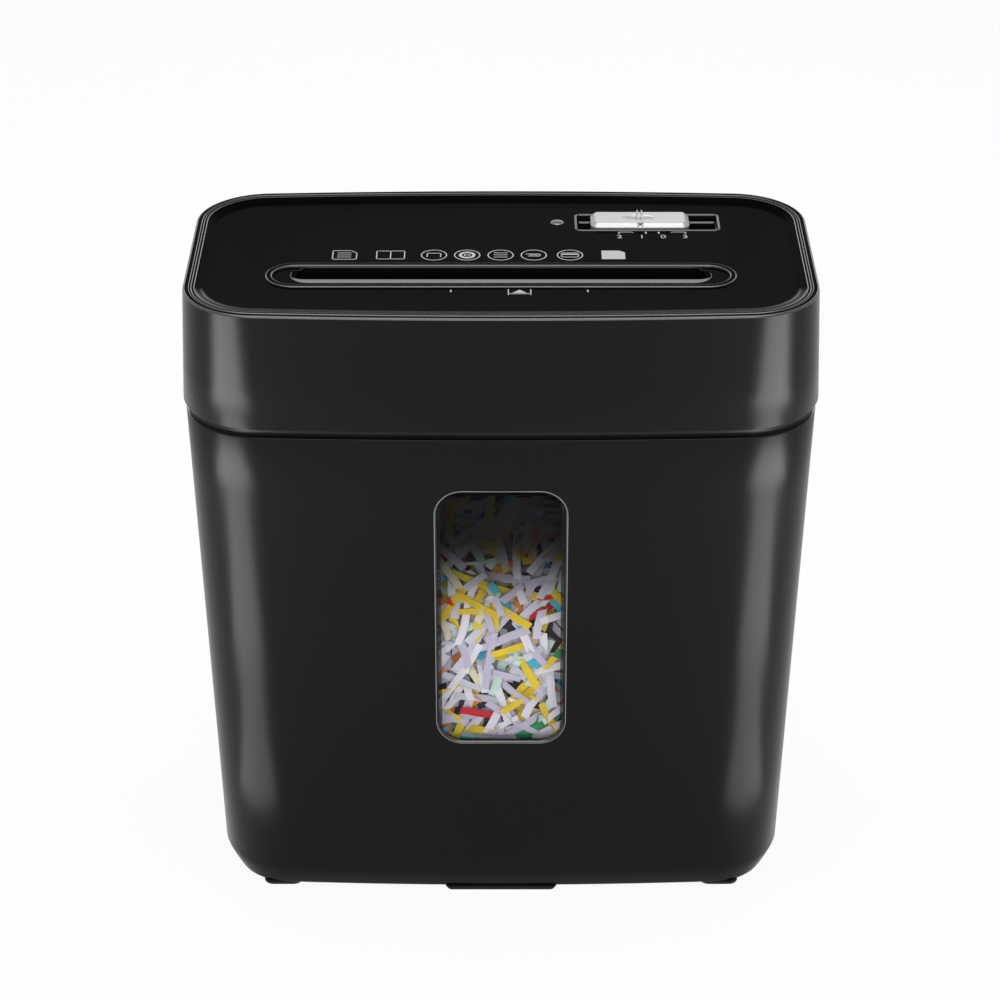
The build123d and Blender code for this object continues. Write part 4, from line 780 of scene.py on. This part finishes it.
def buildHead():
    bm = bmesh.new()
    low, rim, pocket = headLow.z, headHigh.z - headLook["edge"], panelLow.z
    rise, step, lean, soft = headLook["foot"]
    wall, ledge, inset = headLook["wall"], headLook["ledge"], headLook["panelInset"]
    profile = [(low, lean), (low + rise, step)]
    profile += [(low + rise + drop, back) for drop, back in reversed(roundEdge(soft, 2))]
    profile += [(z, 0.0) for z in headLook["levels"]]
    shelf = pocket - headLook["shelf"]
    profile += [(rim, 0.0), (rim, inset), (pocket, inset), (pocket, ledge), (shelf, ledge),
                (shelf, wall), (headLook["levels"][0], wall), (low, wall)]
    skin(bm, [headRing(bm, z, back) for z, back in profile], closed=True)
    addPosts(bm)
    shell = finishPiece(bm, "headShell", "head", "black_shell", replaced=("head_shell",))
    glandLow, glandHigh = boxOf("cord_gland")
    radius, rear, depth = headLook["glandHole"]
    cutter = bmesh.new()
    made = bmesh.ops.create_cone(cutter, segments=48, radius1=radius, radius2=radius, depth=depth,
                                 cap_ends=True)["verts"]
    bmesh.ops.rotate(cutter, matrix=Matrix.Rotation(math.pi / 2, 3, "X"), verts=made)
    bmesh.ops.translate(cutter, vec=((glandLow.x + glandHigh.x) / 2, rear, (glandLow.z + glandHigh.z) / 2),
                        verts=made)
    cutAway(shell, [cutter])


def buildLip():
    # polished edge along the top of the head
    bm = bmesh.new()
    top, inner = headHigh.z, headLook["panelInset"]
    edge, lip = headLook["edge"], headLook["lip"]
    profile = [(top - drop, inset) for drop, inset in roundEdge(edge, 5)]
    profile += [(top, edge + shadeGap), (top, inner - lip - shadeGap)]
    profile += [(top - drop, inner - inset) for drop, inset in reversed(roundEdge(lip))]
    profile.append((top - edge, inner))
    skin(bm, [headRing(bm, z, inset) for z, inset in profile], closed=True)
    finishPiece(bm, "headLip", "head", "black_shell", "bezel_black", ("head_shell",), 40.0)


buildHead()
buildLip()
smoothCopy("head_base", "headBase", "head", "black_shell")

bezelLow, bezelHigh = boxOf("slot_bezel")
trayLow, trayHigh = boxOf("switch_tray")
lensLow, lensHigh = boxOf("indicator_lens")
panelLook = {"gap": 0.3, "rim": 2.3, "edge": 0.80, "fall": 0.1, "ramp": (0.45, 0.35),
             "dishX": 5.0, "dishY": 8.0, "dishSteps": 6, "flat": 337.2}
panelSeat = panelLook["flat"] + 0.02  # what stands on the panel starts just above it
bezelLook = {
    "seat": 3.0, "fit": 0.2, "rim": 3.5, "round": 0.60, "under": 326.0,
    "rearGap": 2.1,  # between the rear edge and that of the CAD piece
    "throat": (220.0, 6.0, -20.0),  # length, width and place of the narrow part
    "ledge": (1.2, 3.5), "ramp": (5.4, 0.47),  # fall and reach; reach and fall
    "ends": 9.0, "shoulder": 8.0, "shoulderSteps": 6, "shoulderStart": 10.0, "funnel": 2.0,
}
trayLook = {"corner": 3.0, "leastCorner": 0.8, "lip": 0.8, "wall": 0.6, "depth": 4.2, "fit": 0.65,
            "rounds": (0.4, 0.6, 0.8)}  # outside and inside of the lip, and of the floor
lensLook = {"dome": 3.4, "flatten": 0.3, "sunk": 0.1, "collar": 4.9, "collarHeight": 1.2, "hole": 3.5}


def middleOf(low, high):
    return (low.x + high.x) / 2, (low.y + high.y) / 2


def prismCutter(points):
    # upright cutter through the panel
    bm = bmesh.new()
    skinAndCap(bm, [addRing(bm, points, panelLow.z - 2), addRing(bm, points, panelHigh.z + 2)])
    return bm


def panelRing(bm, z, insetX, insetY):
    points = bowedPoints(headLook["rimWidth"] - 2 * insetX, headLook["rimDepth"] - 2 * insetY,
                         headLook["rimCorner"] - insetX, headLook["crown"])
    return addRing(bm, points, z)


def buildPanelRim():
    # raised frame of the glossy panel
    top, edge = panelHigh.z, panelLook["edge"]
    start = headLook["panelInset"] + panelLook["gap"]
    inner = start + panelLook["rim"]
    profile = [(panelLow.z, start)]
    profile += [(top - drop, start + inset) for drop, inset in roundEdge(edge)]
    profile += [(top, start + edge + 0.1)] + [(top, inner - back) for back in panelLook["ramp"]]
    top -= panelLook["fall"]
    profile += [(top, inner), (panelLow.z, inner)]
    bm = bmesh.new()
    skin(bm, [panelRing(bm, z, inset, inset) for z, inset in profile], closed=True)
    finishPiece(bm, "panelRim", "head", "gloss_black", "bezel_black", ("top_panel",), sharp=40.0)
    return top, inner


def buildPanel():
    # dished slope from the rim down to the flat, with openings for the slot, the tray and the lens
    top, inner = buildPanelRim()
    bm = bmesh.new()
    rings = [panelRing(bm, panelLow.z, inner, inner)]
    for step in range(panelLook["dishSteps"] + 1):
        share = step / panelLook["dishSteps"]
        fall = share * share * (3 - 2 * share) if share > 0.5 else share * (1.5 - share)
        rings.append(panelRing(bm, top - (top - panelLook["flat"]) * fall,
                               inner + panelLook["dishX"] * share, inner + panelLook["dishY"] * share))
    skinAndCap(bm, rings)
    panel = finishPiece(bm, "topPanel", "head", "gloss_black", replaced=("top_panel",), sharp=40.0)
    slot, tray = bezelHigh - bezelLow, trayHigh - trayLow
    less = 2 * (bezelLook["seat"] - bezelLook["fit"])
    fit, hole = 2 * trayLook["fit"], 2 * lensLook["hole"]
    cutAway(panel, [
        prismCutter(roundedPoints(slot.x - less, slot.y - less, (slot.y - less) / 2 - 0.01,
                                  (0.0, middleOf(bezelLow, bezelHigh)[1]), 16)),
        prismCutter(roundedPoints(tray.x - fit, tray.y - fit, trayLook["corner"],
                                  middleOf(trayLow, trayHigh))),
        prismCutter(roundedPoints(hole, hole, hole / 2 - 0.01, middleOf(lensLow, lensHigh)))])


def slotRing(bm, halfLength, front, back, zFront, zBack=None):
    # stadium whose front and back may lie at different heights
    radius = (back - front) / 2
    points = roundedPoints(2 * halfLength, 2 * radius, radius - 0.005, (0, (front + back) / 2), 12)
    zBack = zFront if zBack is None else zBack
    heights = [zFront + (zBack - zFront) * (y - front) / (back - front) for x, y in points]
    return addRing(bm, points, heights)


def buildBezel():
    # raised frame round the feed slot; a ledge and a ramp lead the sheet into the throat
    top, under = bezelHigh.z, bezelLook["under"]
    halfLength, front, back = bezelHigh.x, bezelLow.y, bezelHigh.y - bezelLook["rearGap"]
    bodyIn, rim, soft = bezelLook["seat"], bezelLook["rim"], bezelLook["round"]
    profile = [(bodyIn, under), (bodyIn, panelSeat), (0.0, panelSeat)]
    profile += [(inset, top - drop) for drop, inset in roundEdge(soft)]
    profile += [(soft + shadeGap, top), (rim - soft - shadeGap, top)]
    profile += [(rim - inset, top - drop) for drop, inset in reversed(roundEdge(soft))]
    bm = bmesh.new()
    rings = [slotRing(bm, halfLength - edge, front + edge, back - edge, z) for edge, z in profile]
    # inside, each ring lies a little further in than the last, so that none of them touch
    fall, ledge = bezelLook["ledge"]
    run, slope = bezelLook["ramp"]
    reach, mouthBack = halfLength - rim - 0.1, back - rim - 0.1
    y, z = front + rim, top - fall
    rings.append(slotRing(bm, reach, y + 0.1, mouthBack, z))
    rings.append(slotRing(bm, reach - 0.1, y + 0.2, mouthBack - 0.05, z))
    y += ledge
    reach -= bezelLook["ends"]
    rings.append(slotRing(bm, reach + 0.2, y - 0.1, mouthBack - 0.1, z))
    rings.append(slotRing(bm, reach, y, mouthBack - 0.15, z))
    for share in (0.03, 0.97, 1.0):
        lower = z - slope * share
        rings.append(slotRing(bm, reach - 0.05 - 0.1 * share, y + run * share, mouthBack - 0.2,
                              lower, lower - share))
    y, z = y + run, z - slope
    length, width, middle = bezelLook["throat"]
    throat = (length / 2, middle - width / 2, middle + width / 2)
    across = throat[1] - y - 0.4
    start = bezelLook["shoulderStart"]
    level = math.sin(math.radians(start))
    for step in range(1, bezelLook["shoulderSteps"] + 1):
        turn = math.radians(start + (90 - start) * step / bezelLook["shoulderSteps"])
        share = (math.sin(turn) - level) / (1 - level)
        lower = z - bezelLook["shoulder"] * (1 - math.cos(turn))
        rings.append(slotRing(bm, reach - 0.2, y + across * share, mouthBack - 0.3, lower, lower - 1.0))
    grow = bezelLook["funnel"]
    outside = (throat[0] + grow, throat[1] - grow, throat[2] + grow)
    rings.append(slotRing(bm, *throat, z - bezelLook["shoulder"] - 1.2))
    rings.append(slotRing(bm, *throat, bezelLow.z))
    rings.append(slotRing(bm, *outside, bezelLow.z))
    rings.append(slotRing(bm, *outside, under - 0.1))
    skin(bm, rings, closed=True)
    finishPiece(bm, "slotBezel", "head", "gloss_black", "bezel_black", ("slot_bezel",), 40.0)


def buildTray():
    # recess for the mode slider, with a thin raised lip
    bm = bmesh.new()
    size = trayHigh - trayLow
    outside, inside, soft = trayLook["rounds"]
    top, lip = trayHigh.z, trayLook["lip"]
    inner, ground = lip + trayLook["wall"], panelSeat - trayLook["depth"] + soft
    profile = [(lip, trayLow.z), (lip, panelSeat), (0.0, panelSeat)]
    profile += [(inset, top - drop) for drop, inset in roundEdge(outside, 3)]
    profile += [(inner - inset, top - drop) for drop, inset in reversed(roundEdge(inside, 3))]
    profile += [(inner + soft - inset, ground - drop) for drop, inset in reversed(roundEdge(soft, 3))]
    rings = []
    for inset, z in profile:
        corner = max(trayLook["leastCorner"], trayLook["corner"] - inset)
        points = roundedPoints(size.x - 2 * inset, size.y - 2 * inset, corner, middleOf(trayLow, trayHigh))
        rings.append(addRing(bm, points, z))
    skinAndCap(bm, rings)
    finishPiece(bm, "switchTray", "head", "black_plastic", "bezel_black", ("switch_tray",))


def buildKnob():
    # silver slider: sloped sides, a lens-shaped dimple and a grooved pointer bar
    look = {
        "slope": 1.9, "bevel": 2.3, "corner": 4.0, "bodyLow": 333.5,
        "dimple": (9.4, 3.7, 1.15),  # half length, half width and depth
        "bowl": ((1.12, 0.4), (1.0, 0.0), (0.86, -0.45), (0.62, -0.82), (0.3, -1.0)),  # size and height
        "bar": (2.9, 1.0, 0.7), "barRound": 0.22,  # width, rise and groove
        "stem": (2.5, 2.0), "stemRound": 0.3,
    }
    low, high = boxOf("mode_knob")
    barWidth, rise, groove = look["bar"]
    top, slope, bevel = high.z - rise, look["slope"], look["bevel"]
    midX, midY = middleOf(low, high)
    body = bmesh.new()
    rings = []
    for inset, z in ((0.0, look["bodyLow"]), (0.0, top - slope), (0.3, top - slope + 0.3),
                     (bevel - 0.2, top - 0.12), (bevel + 0.15, top)):
        points = roundedPoints(high.x - low.x - 2 * inset, high.y - low.y - 2 * inset,
                               look["corner"] - inset, (midX, midY), 16)
        rings.append(addRing(body, points, z))
    skinAndCap(body, rings)
    knob = finishPiece(body, "modeKnob", "mode_slider", "knob_silver", replaced=("mode_knob",), sharp=50.0)
    cutter = bmesh.new()
    long, short, deep = look["dimple"]  # its outline lies between two arcs
    radius = (long ** 2 + short ** 2) / (2 * short)
    arc = [-long + 2 * long * step / 16 for step in range(17)]
    upper = [(x, math.sqrt(radius ** 2 - x ** 2) - radius + short) for x in arc]
    outline = upper + [(x, -y) for x, y in reversed(upper[1:-1])]
    skinAndCap(cutter, [addRing(cutter, [(midX + x * size, midY + y * size) for x, y in outline],
                                top + height * deep) for size, height in look["bowl"]])
    cutAway(knob, [cutter], 7.0)
    bar = bmesh.new()
    backY, frontY, foot = high.y - bevel + 0.5, low.y + 0.5, top - 1.0
    half = groove * 0.62
    for side in (-1, 1):
        x = midX + side * (barWidth - groove) / 2
        made = bmesh.ops.create_cube(bar, size=1.0)["verts"]
        for vert in made:
            up, front = vert.co.z > 0, vert.co.y < 0
            vert.co.x = x + half * (1 if vert.co.x > 0 else -1)
            vert.co.y = frontY if front else backY
            vert.co.z = high.z if up else foot
            if front:
                vert.co.z = top - slope + 0.9 if up else top - slope - 0.3
            if up and front:
                vert.co.y = frontY - 0.3
        bmesh.ops.subdivide_edges(bar, edges=[edge for edge in bar.edges
                                              if abs(edge.verts[0].co.y - edge.verts[1].co.y) > 5
                                              and edge.verts[0] in made], cuts=1)
    for vert in bar.verts:  # the bar bends down at the knob's front slope
        if backY - 1 > vert.co.y > frontY + 1:
            vert.co.y = low.y + bevel + 0.4
            vert.co.z = high.z if vert.co.z > top - 1.1 else foot
    addBlock(bar, (midX - barWidth / 2, low.y + 0.9, top - 1.6),
             (midX + barWidth / 2, low.y + 3.0, top + 0.35))
    edges = [edge for edge in bar.edges if edge.calc_face_angle(0) > 0.5]
    bmesh.ops.bevel(bar, geom=edges, offset=look["barRound"], segments=2, profile=0.5, affect="EDGES",
                    material=-1)
    finishPiece(bar, "knobPointer", "mode_slider", "knob_silver", replaced=("mode_knob",))
    stem = bmesh.new()
    halfX, halfY = look["stem"]
    addBlock(stem, (midX - halfX, midY - halfY, low.z),
             (midX + halfX, midY + halfY, look["bodyLow"] + 0.2), look["stemRound"])
    finishPiece(stem, "knobStem", "mode_slider", "knob_silver", replaced=("mode_knob",))


def buildLens():
    # low dome over the indicator lamp, on a collar under the panel
    middle, dome, collar = middleOf(lensLow, lensHigh), lensLook["dome"], lensLook["collar"]
    sunk = lensLook["sunk"]
    bm = bmesh.new()
    made = bmesh.ops.create_uvsphere(bm, u_segments=40, v_segments=20, radius=dome)["verts"]
    bmesh.ops.scale(bm, vec=(1, 1, lensLook["flatten"]), verts=made)
    trimOff(bm, (0, 0, -sunk), (0, 0, -1))
    bmesh.ops.translate(bm, vec=(*middle, panelLook["flat"]), verts=bm.verts)
    step = lensLow.z + lensLook["collarHeight"]
    skinAndCap(bm, [addRing(bm, roundedPoints(2 * size, 2 * size, size - 0.01, middle), z)
                    for size, z in ((collar, lensLow.z), (collar, step), (dome, step),
                                    (dome, panelLook["flat"] - sunk))])
    finishPiece(bm, "indicatorLens", "head", "lens", replaced=("indicator_lens",))


buildPanel()
buildBezel()
buildTray()
buildKnob()
buildLens()

print("marks")
inkLook = {"z": 337.22, "thick": 0.07, "line": 0.55}


def stroke(bm, start, end, width=inkLook["line"]):
    # straight line of ink
    made = bmesh.ops.create_grid(bm, x_segments=1, y_segments=1, size=0.5)["verts"]
    dx, dy = end[0] - start[0], end[1] - start[1]
    bmesh.ops.scale(bm, vec=(math.hypot(dx, dy) + width, width, 1), verts=made)
    bmesh.ops.rotate(bm, matrix=Matrix.Rotation(math.atan2(dy, dx), 3, "Z"), verts=made)
    bmesh.ops.translate(bm, vec=((start[0] + end[0]) / 2, (start[1] + end[1]) / 2, 0), verts=made)


def strokes(bm, points, closed=False):
    loop = list(points) + ([points[0]] if closed else [])
    for start, end in zip(loop, loop[1:]):
        stroke(bm, start, end)


def inkFrame(bm, middle, halfX, halfY, closed=True):
    x, y = middle
    strokes(bm, ((x - halfX, y - halfY), (x - halfX, y + halfY), (x + halfX, y + halfY),
                 (x + halfX, y - halfY)), closed)


def inkRing(bm, middle, radius, width=inkLook["line"]):
    rings = []
    for size in (radius, radius - width):
        made = bmesh.ops.create_circle(bm, segments=48, radius=size)["verts"]
        bmesh.ops.translate(bm, vec=(*middle, 0), verts=made)
        rings.append(made)
    skin(bm, rings)


def inkPatch(bm, points):
    bm.faces.new([bm.verts.new((x, y, 0)) for x, y in points])


def inkDigit(bm, digit, x, y, size):
    # plain number, turned into a mesh
    text = bpy.data.curves.new("digit", "FONT")
    text.body = digit
    text.size = size
    text.align_x = "CENTER"
    made = bpy.data.objects.new("digit", text)
    bpy.context.scene.collection.objects.link(made)
    bpy.context.view_layer.update()
    mesh = bpy.data.meshes.new_from_object(made.evaluated_get(bpy.context.evaluated_depsgraph_get()))
    mesh.transform(Matrix.Translation((x, y, 0)))
    bm.from_mesh(mesh)
    bpy.data.objects.remove(made)


def finishInk(bm, name):
    bmesh.ops.remove_doubles(bm, verts=bm.verts, dist=0.0001)
    bmesh.ops.recalc_face_normals(bm, faces=bm.faces)
    thicken(bm, -inkLook["thick"])
    bmesh.ops.translate(bm, vec=(0, 0, inkLook["z"]), verts=bm.verts)
    finishPiece(bm, name, "head", "gloss_black", "ink")


def buildSwitchMarks():
    # stops of the slider, numbered
    look = {"row": 29.4, "tick": 1.5, "stops": (60.3, 74.0, 80.6, 94.2),
            "links": ((60.3, 67.4), (87.1, 94.2)), "numbers": "2103",
            "numberX": (60.4, 71.8, 82.7, 93.9), "numberY": 21.6, "size": 6.0}
    row = look["row"]
    bm = bmesh.new()
    for x in look["stops"]:
        stroke(bm, (x, row), (x, row - look["tick"]), 0.9)
    for start, end in look["links"]:
        stroke(bm, (start, row), (end, row))
        for x in (start, end):
            stroke(bm, (x, row), (x, row - 0.5))
    for digit, x in zip(look["numbers"], look["numberX"]):
        inkDigit(bm, digit, x, look["numberY"], look["size"])
    finishInk(bm, "switchMarks")


def buildSlotMarks():
    # where a card goes in, and two ticks for the width of a letter
    look = {"ticks": (-24.6, 42.6), "tick": (-43.2, -44.8), "left": 3.6, "right": 14.6,
            "posts": (-42.2, -48.4), "base": -47.2, "arrow": ((5.6, -46.2), (12.6, -46.2), (9.1, -42.4))}
    bm = bmesh.new()
    for x in look["ticks"]:
        stroke(bm, (x, look["tick"][0]), (x, look["tick"][1]), 0.8)
    for x in (look["left"], look["right"]):
        stroke(bm, (x, look["posts"][0]), (x, look["posts"][1]))
    stroke(bm, (look["left"], look["base"]), (look["right"], look["base"]))
    inkPatch(bm, look["arrow"])
    finishInk(bm, "slotMarks")


def buildFeedSigns():
    # row of plain signs for what may be fed in: page, book, staple, disc, lines, clip, card and leaf
    look = {"y": 0.2, "radius": 6.6, "rings": (-33.7, -17.0, -0.2, 16.5, 34.7), "rows": (-2.6, 0.0, 2.6),
            "book": (-59.0, -52.0)}
    y = look["y"]
    staple, disc, lines, clip, card = look["rings"]
    bm = bmesh.new()
    strokes(bm, ((-84.6, y - 5.4), (-84.6, y + 5.4), (-75.4, y + 5.4), (-72.6, y + 2.4), (-72.6, y - 5.4)),
            closed=True)
    for row in look["rows"]:
        stroke(bm, (-82.0, y + row), (-75.6, y + row))
        stroke(bm, (lines - 3.2, y + row), (lines + 3.2, y + row))
    for x in look["book"]:
        inkFrame(bm, (x, y), 3.5, 5.0)
    for x in look["rings"]:
        inkRing(bm, (x, y), look["radius"])
    inkFrame(bm, (staple, y), 3.4, 2.2, closed=False)
    inkRing(bm, (disc, y), 4.2, 1.6)
    inkRing(bm, (disc, y), 1.6)
    strokes(bm, ((clip - 3.8, y + 1.2), (clip + 3.2, y + 1.2), (clip + 3.2, y - 1.4), (clip - 2.6, y - 1.4)))
    stroke(bm, (clip - 2.0, y), (clip + 2.0, y))
    inkFrame(bm, (card, y), 4.2, 2.6)
    stroke(bm, (card - 4.0, y + 0.9), (card + 4.0, y + 0.9), 1.3)
    inkPatch(bm, ((50.6, y - 5.2), (62.4, y - 5.2), (62.4, y + 3.2), (59.6, y + 5.4), (50.6, y + 5.4)))
    finishInk(bm, "feedSigns")


buildSwitchMarks()
buildSlotMarks()
buildFeedSigns()

print("inner pieces")
for entry in frame["record"]["subparts"]:
    node, slot = entry["node"], entry["material_slot"]
    if slot in finishes:
        nodes[node].data.materials.clear()
        nodes[node].data.materials.append(finishes[slot])
for node, name, slot in (("cord_gland", "cordGland", "rubber"), ("case_screws", "caseScrews", "screw_steel"),
                         ("paper_guide", "paperGuide", "black_plastic")):
    smoothCopy(node, name, "head", slot)

print("stage")


def buildFloor():
    look = {"size": 6000.0, "colour": (0.94, 0.94, 0.95), "lift": 0.93}
    bm = bmesh.new()
    bmesh.ops.create_grid(bm, x_segments=2, y_segments=2, size=look["size"] * mm / 2)
    mesh = bpy.data.meshes.new("floor")
    bm.to_mesh(mesh)
    bm.free()
    paint = Paint("floorFinish", specular=0.0, rough=0.9)
    cloud = paint.noise(3.0)
    paint.feed(colour=paint.mix(cloud, shaded(look["colour"], 0.98), shaded(look["colour"])))
    glow = paint.node("ShaderNodeEmission", {}, {"Strength": 1.0})
    paint.show(paint.node("ShaderNodeMixShader", {},
                          {0: paint.seenWhite() * look["lift"], 1: paint.surface, 2: glow}))
    mesh.materials.append(paint.material)
    floor = bpy.data.objects.new("floor", mesh)
    bpy.context.scene.collection.objects.link(floor)


def buildWorld():
    look = {"fill": 0.34}
    world = bpy.data.worlds.new("studio")
    bpy.context.scene.world = world
    world.use_nodes = True
    graph = Graph(world.node_tree, "ShaderNodeOutputWorld")
    level = graph.fade(graph.seenWhite(), 0.0, 1.0, look["fill"], 1.0, "LINEAR")
    graph.show(graph.node("ShaderNodeBackground", {}, {"Color": shaded((1.0, 1.0, 1.0)), "Strength": level}))


def addPanelLight(name, place, target, size, power):
    light = bpy.data.lights.new(name, "AREA")
    light.shape = "RECTANGLE"
    light.size, light.size_y = size
    light.energy = power
    lamp = bpy.data.objects.new(name, light)
    bpy.context.scene.collection.objects.link(lamp)
    lamp.location = place
    aim = Vector(target) - Vector(place)
    lamp.rotation_euler = aim.to_track_quat("-Z", "Y").to_euler()
    lamp.visible_camera = False
    return lamp


def buildLights():
    look = {  # place, aim, size and power
        "softbox": ((0.0, -0.10, 1.90), (0, -0.1, 0.3), (1.6, 1.3), 24.0),
        "back": ((0.0, 1.50, 1.03), (0, 0, 0.34), (1.8, 0.32), 3.0),
        "front": ((0.0, -2.1, 1.3), (0, 0, 0.2), (1.6, 0.9), 16.0),
    }
    for name, settings in look.items():
        addPanelLight(name, *settings)
    # low tables beside the front corners, which the upright walls mirror as soft bands
    table = {"corner": (0.13, -0.05), "bearing": 48.0, "height": 0.002,
             "steps": ((0.13, 0.12, 0.11, 5.4), (0.30, 0.20, 0.21, 9.6), (0.82, 0.76, 0.54, 18.0))}
    turn = math.radians(table["bearing"])
    for side, name in ((-1, "left"), (1, "right")):
        for distance, length, width, glow in table["steps"]:
            spot = (side * (table["corner"][0] + distance * math.sin(turn)),
                    table["corner"][1] - distance * math.cos(turn), table["height"])
            power = glow * math.pi * length * width
            lamp = addPanelLight(name + "Table", spot, (spot[0], spot[1], 1.0), (width, length), power)
            lamp.rotation_euler = (math.pi, 0, -side * (math.pi / 2 - turn) + math.pi / 2)


def buildCamera():
    look = {"lens": 112.75, "place": (0.0, -1.4486, 0.968), "pitch": 62.0, "shift": -0.001}
    camera = bpy.data.cameras.new("camera")
    camera.lens = look["lens"]
    camera.sensor_width = 36.0
    camera.shift_x = look["shift"]
    camera.clip_start = 0.01
    holder = bpy.data.objects.new("camera", camera)
    bpy.context.scene.collection.objects.link(holder)
    holder.location = look["place"]
    holder.rotation_euler = (math.radians(look["pitch"]), 0, 0)
    bpy.context.scene.camera = holder


buildFloor()
buildWorld()
buildLights()
buildCamera()
bpy.context.scene.view_settings.view_transform = "Standard"
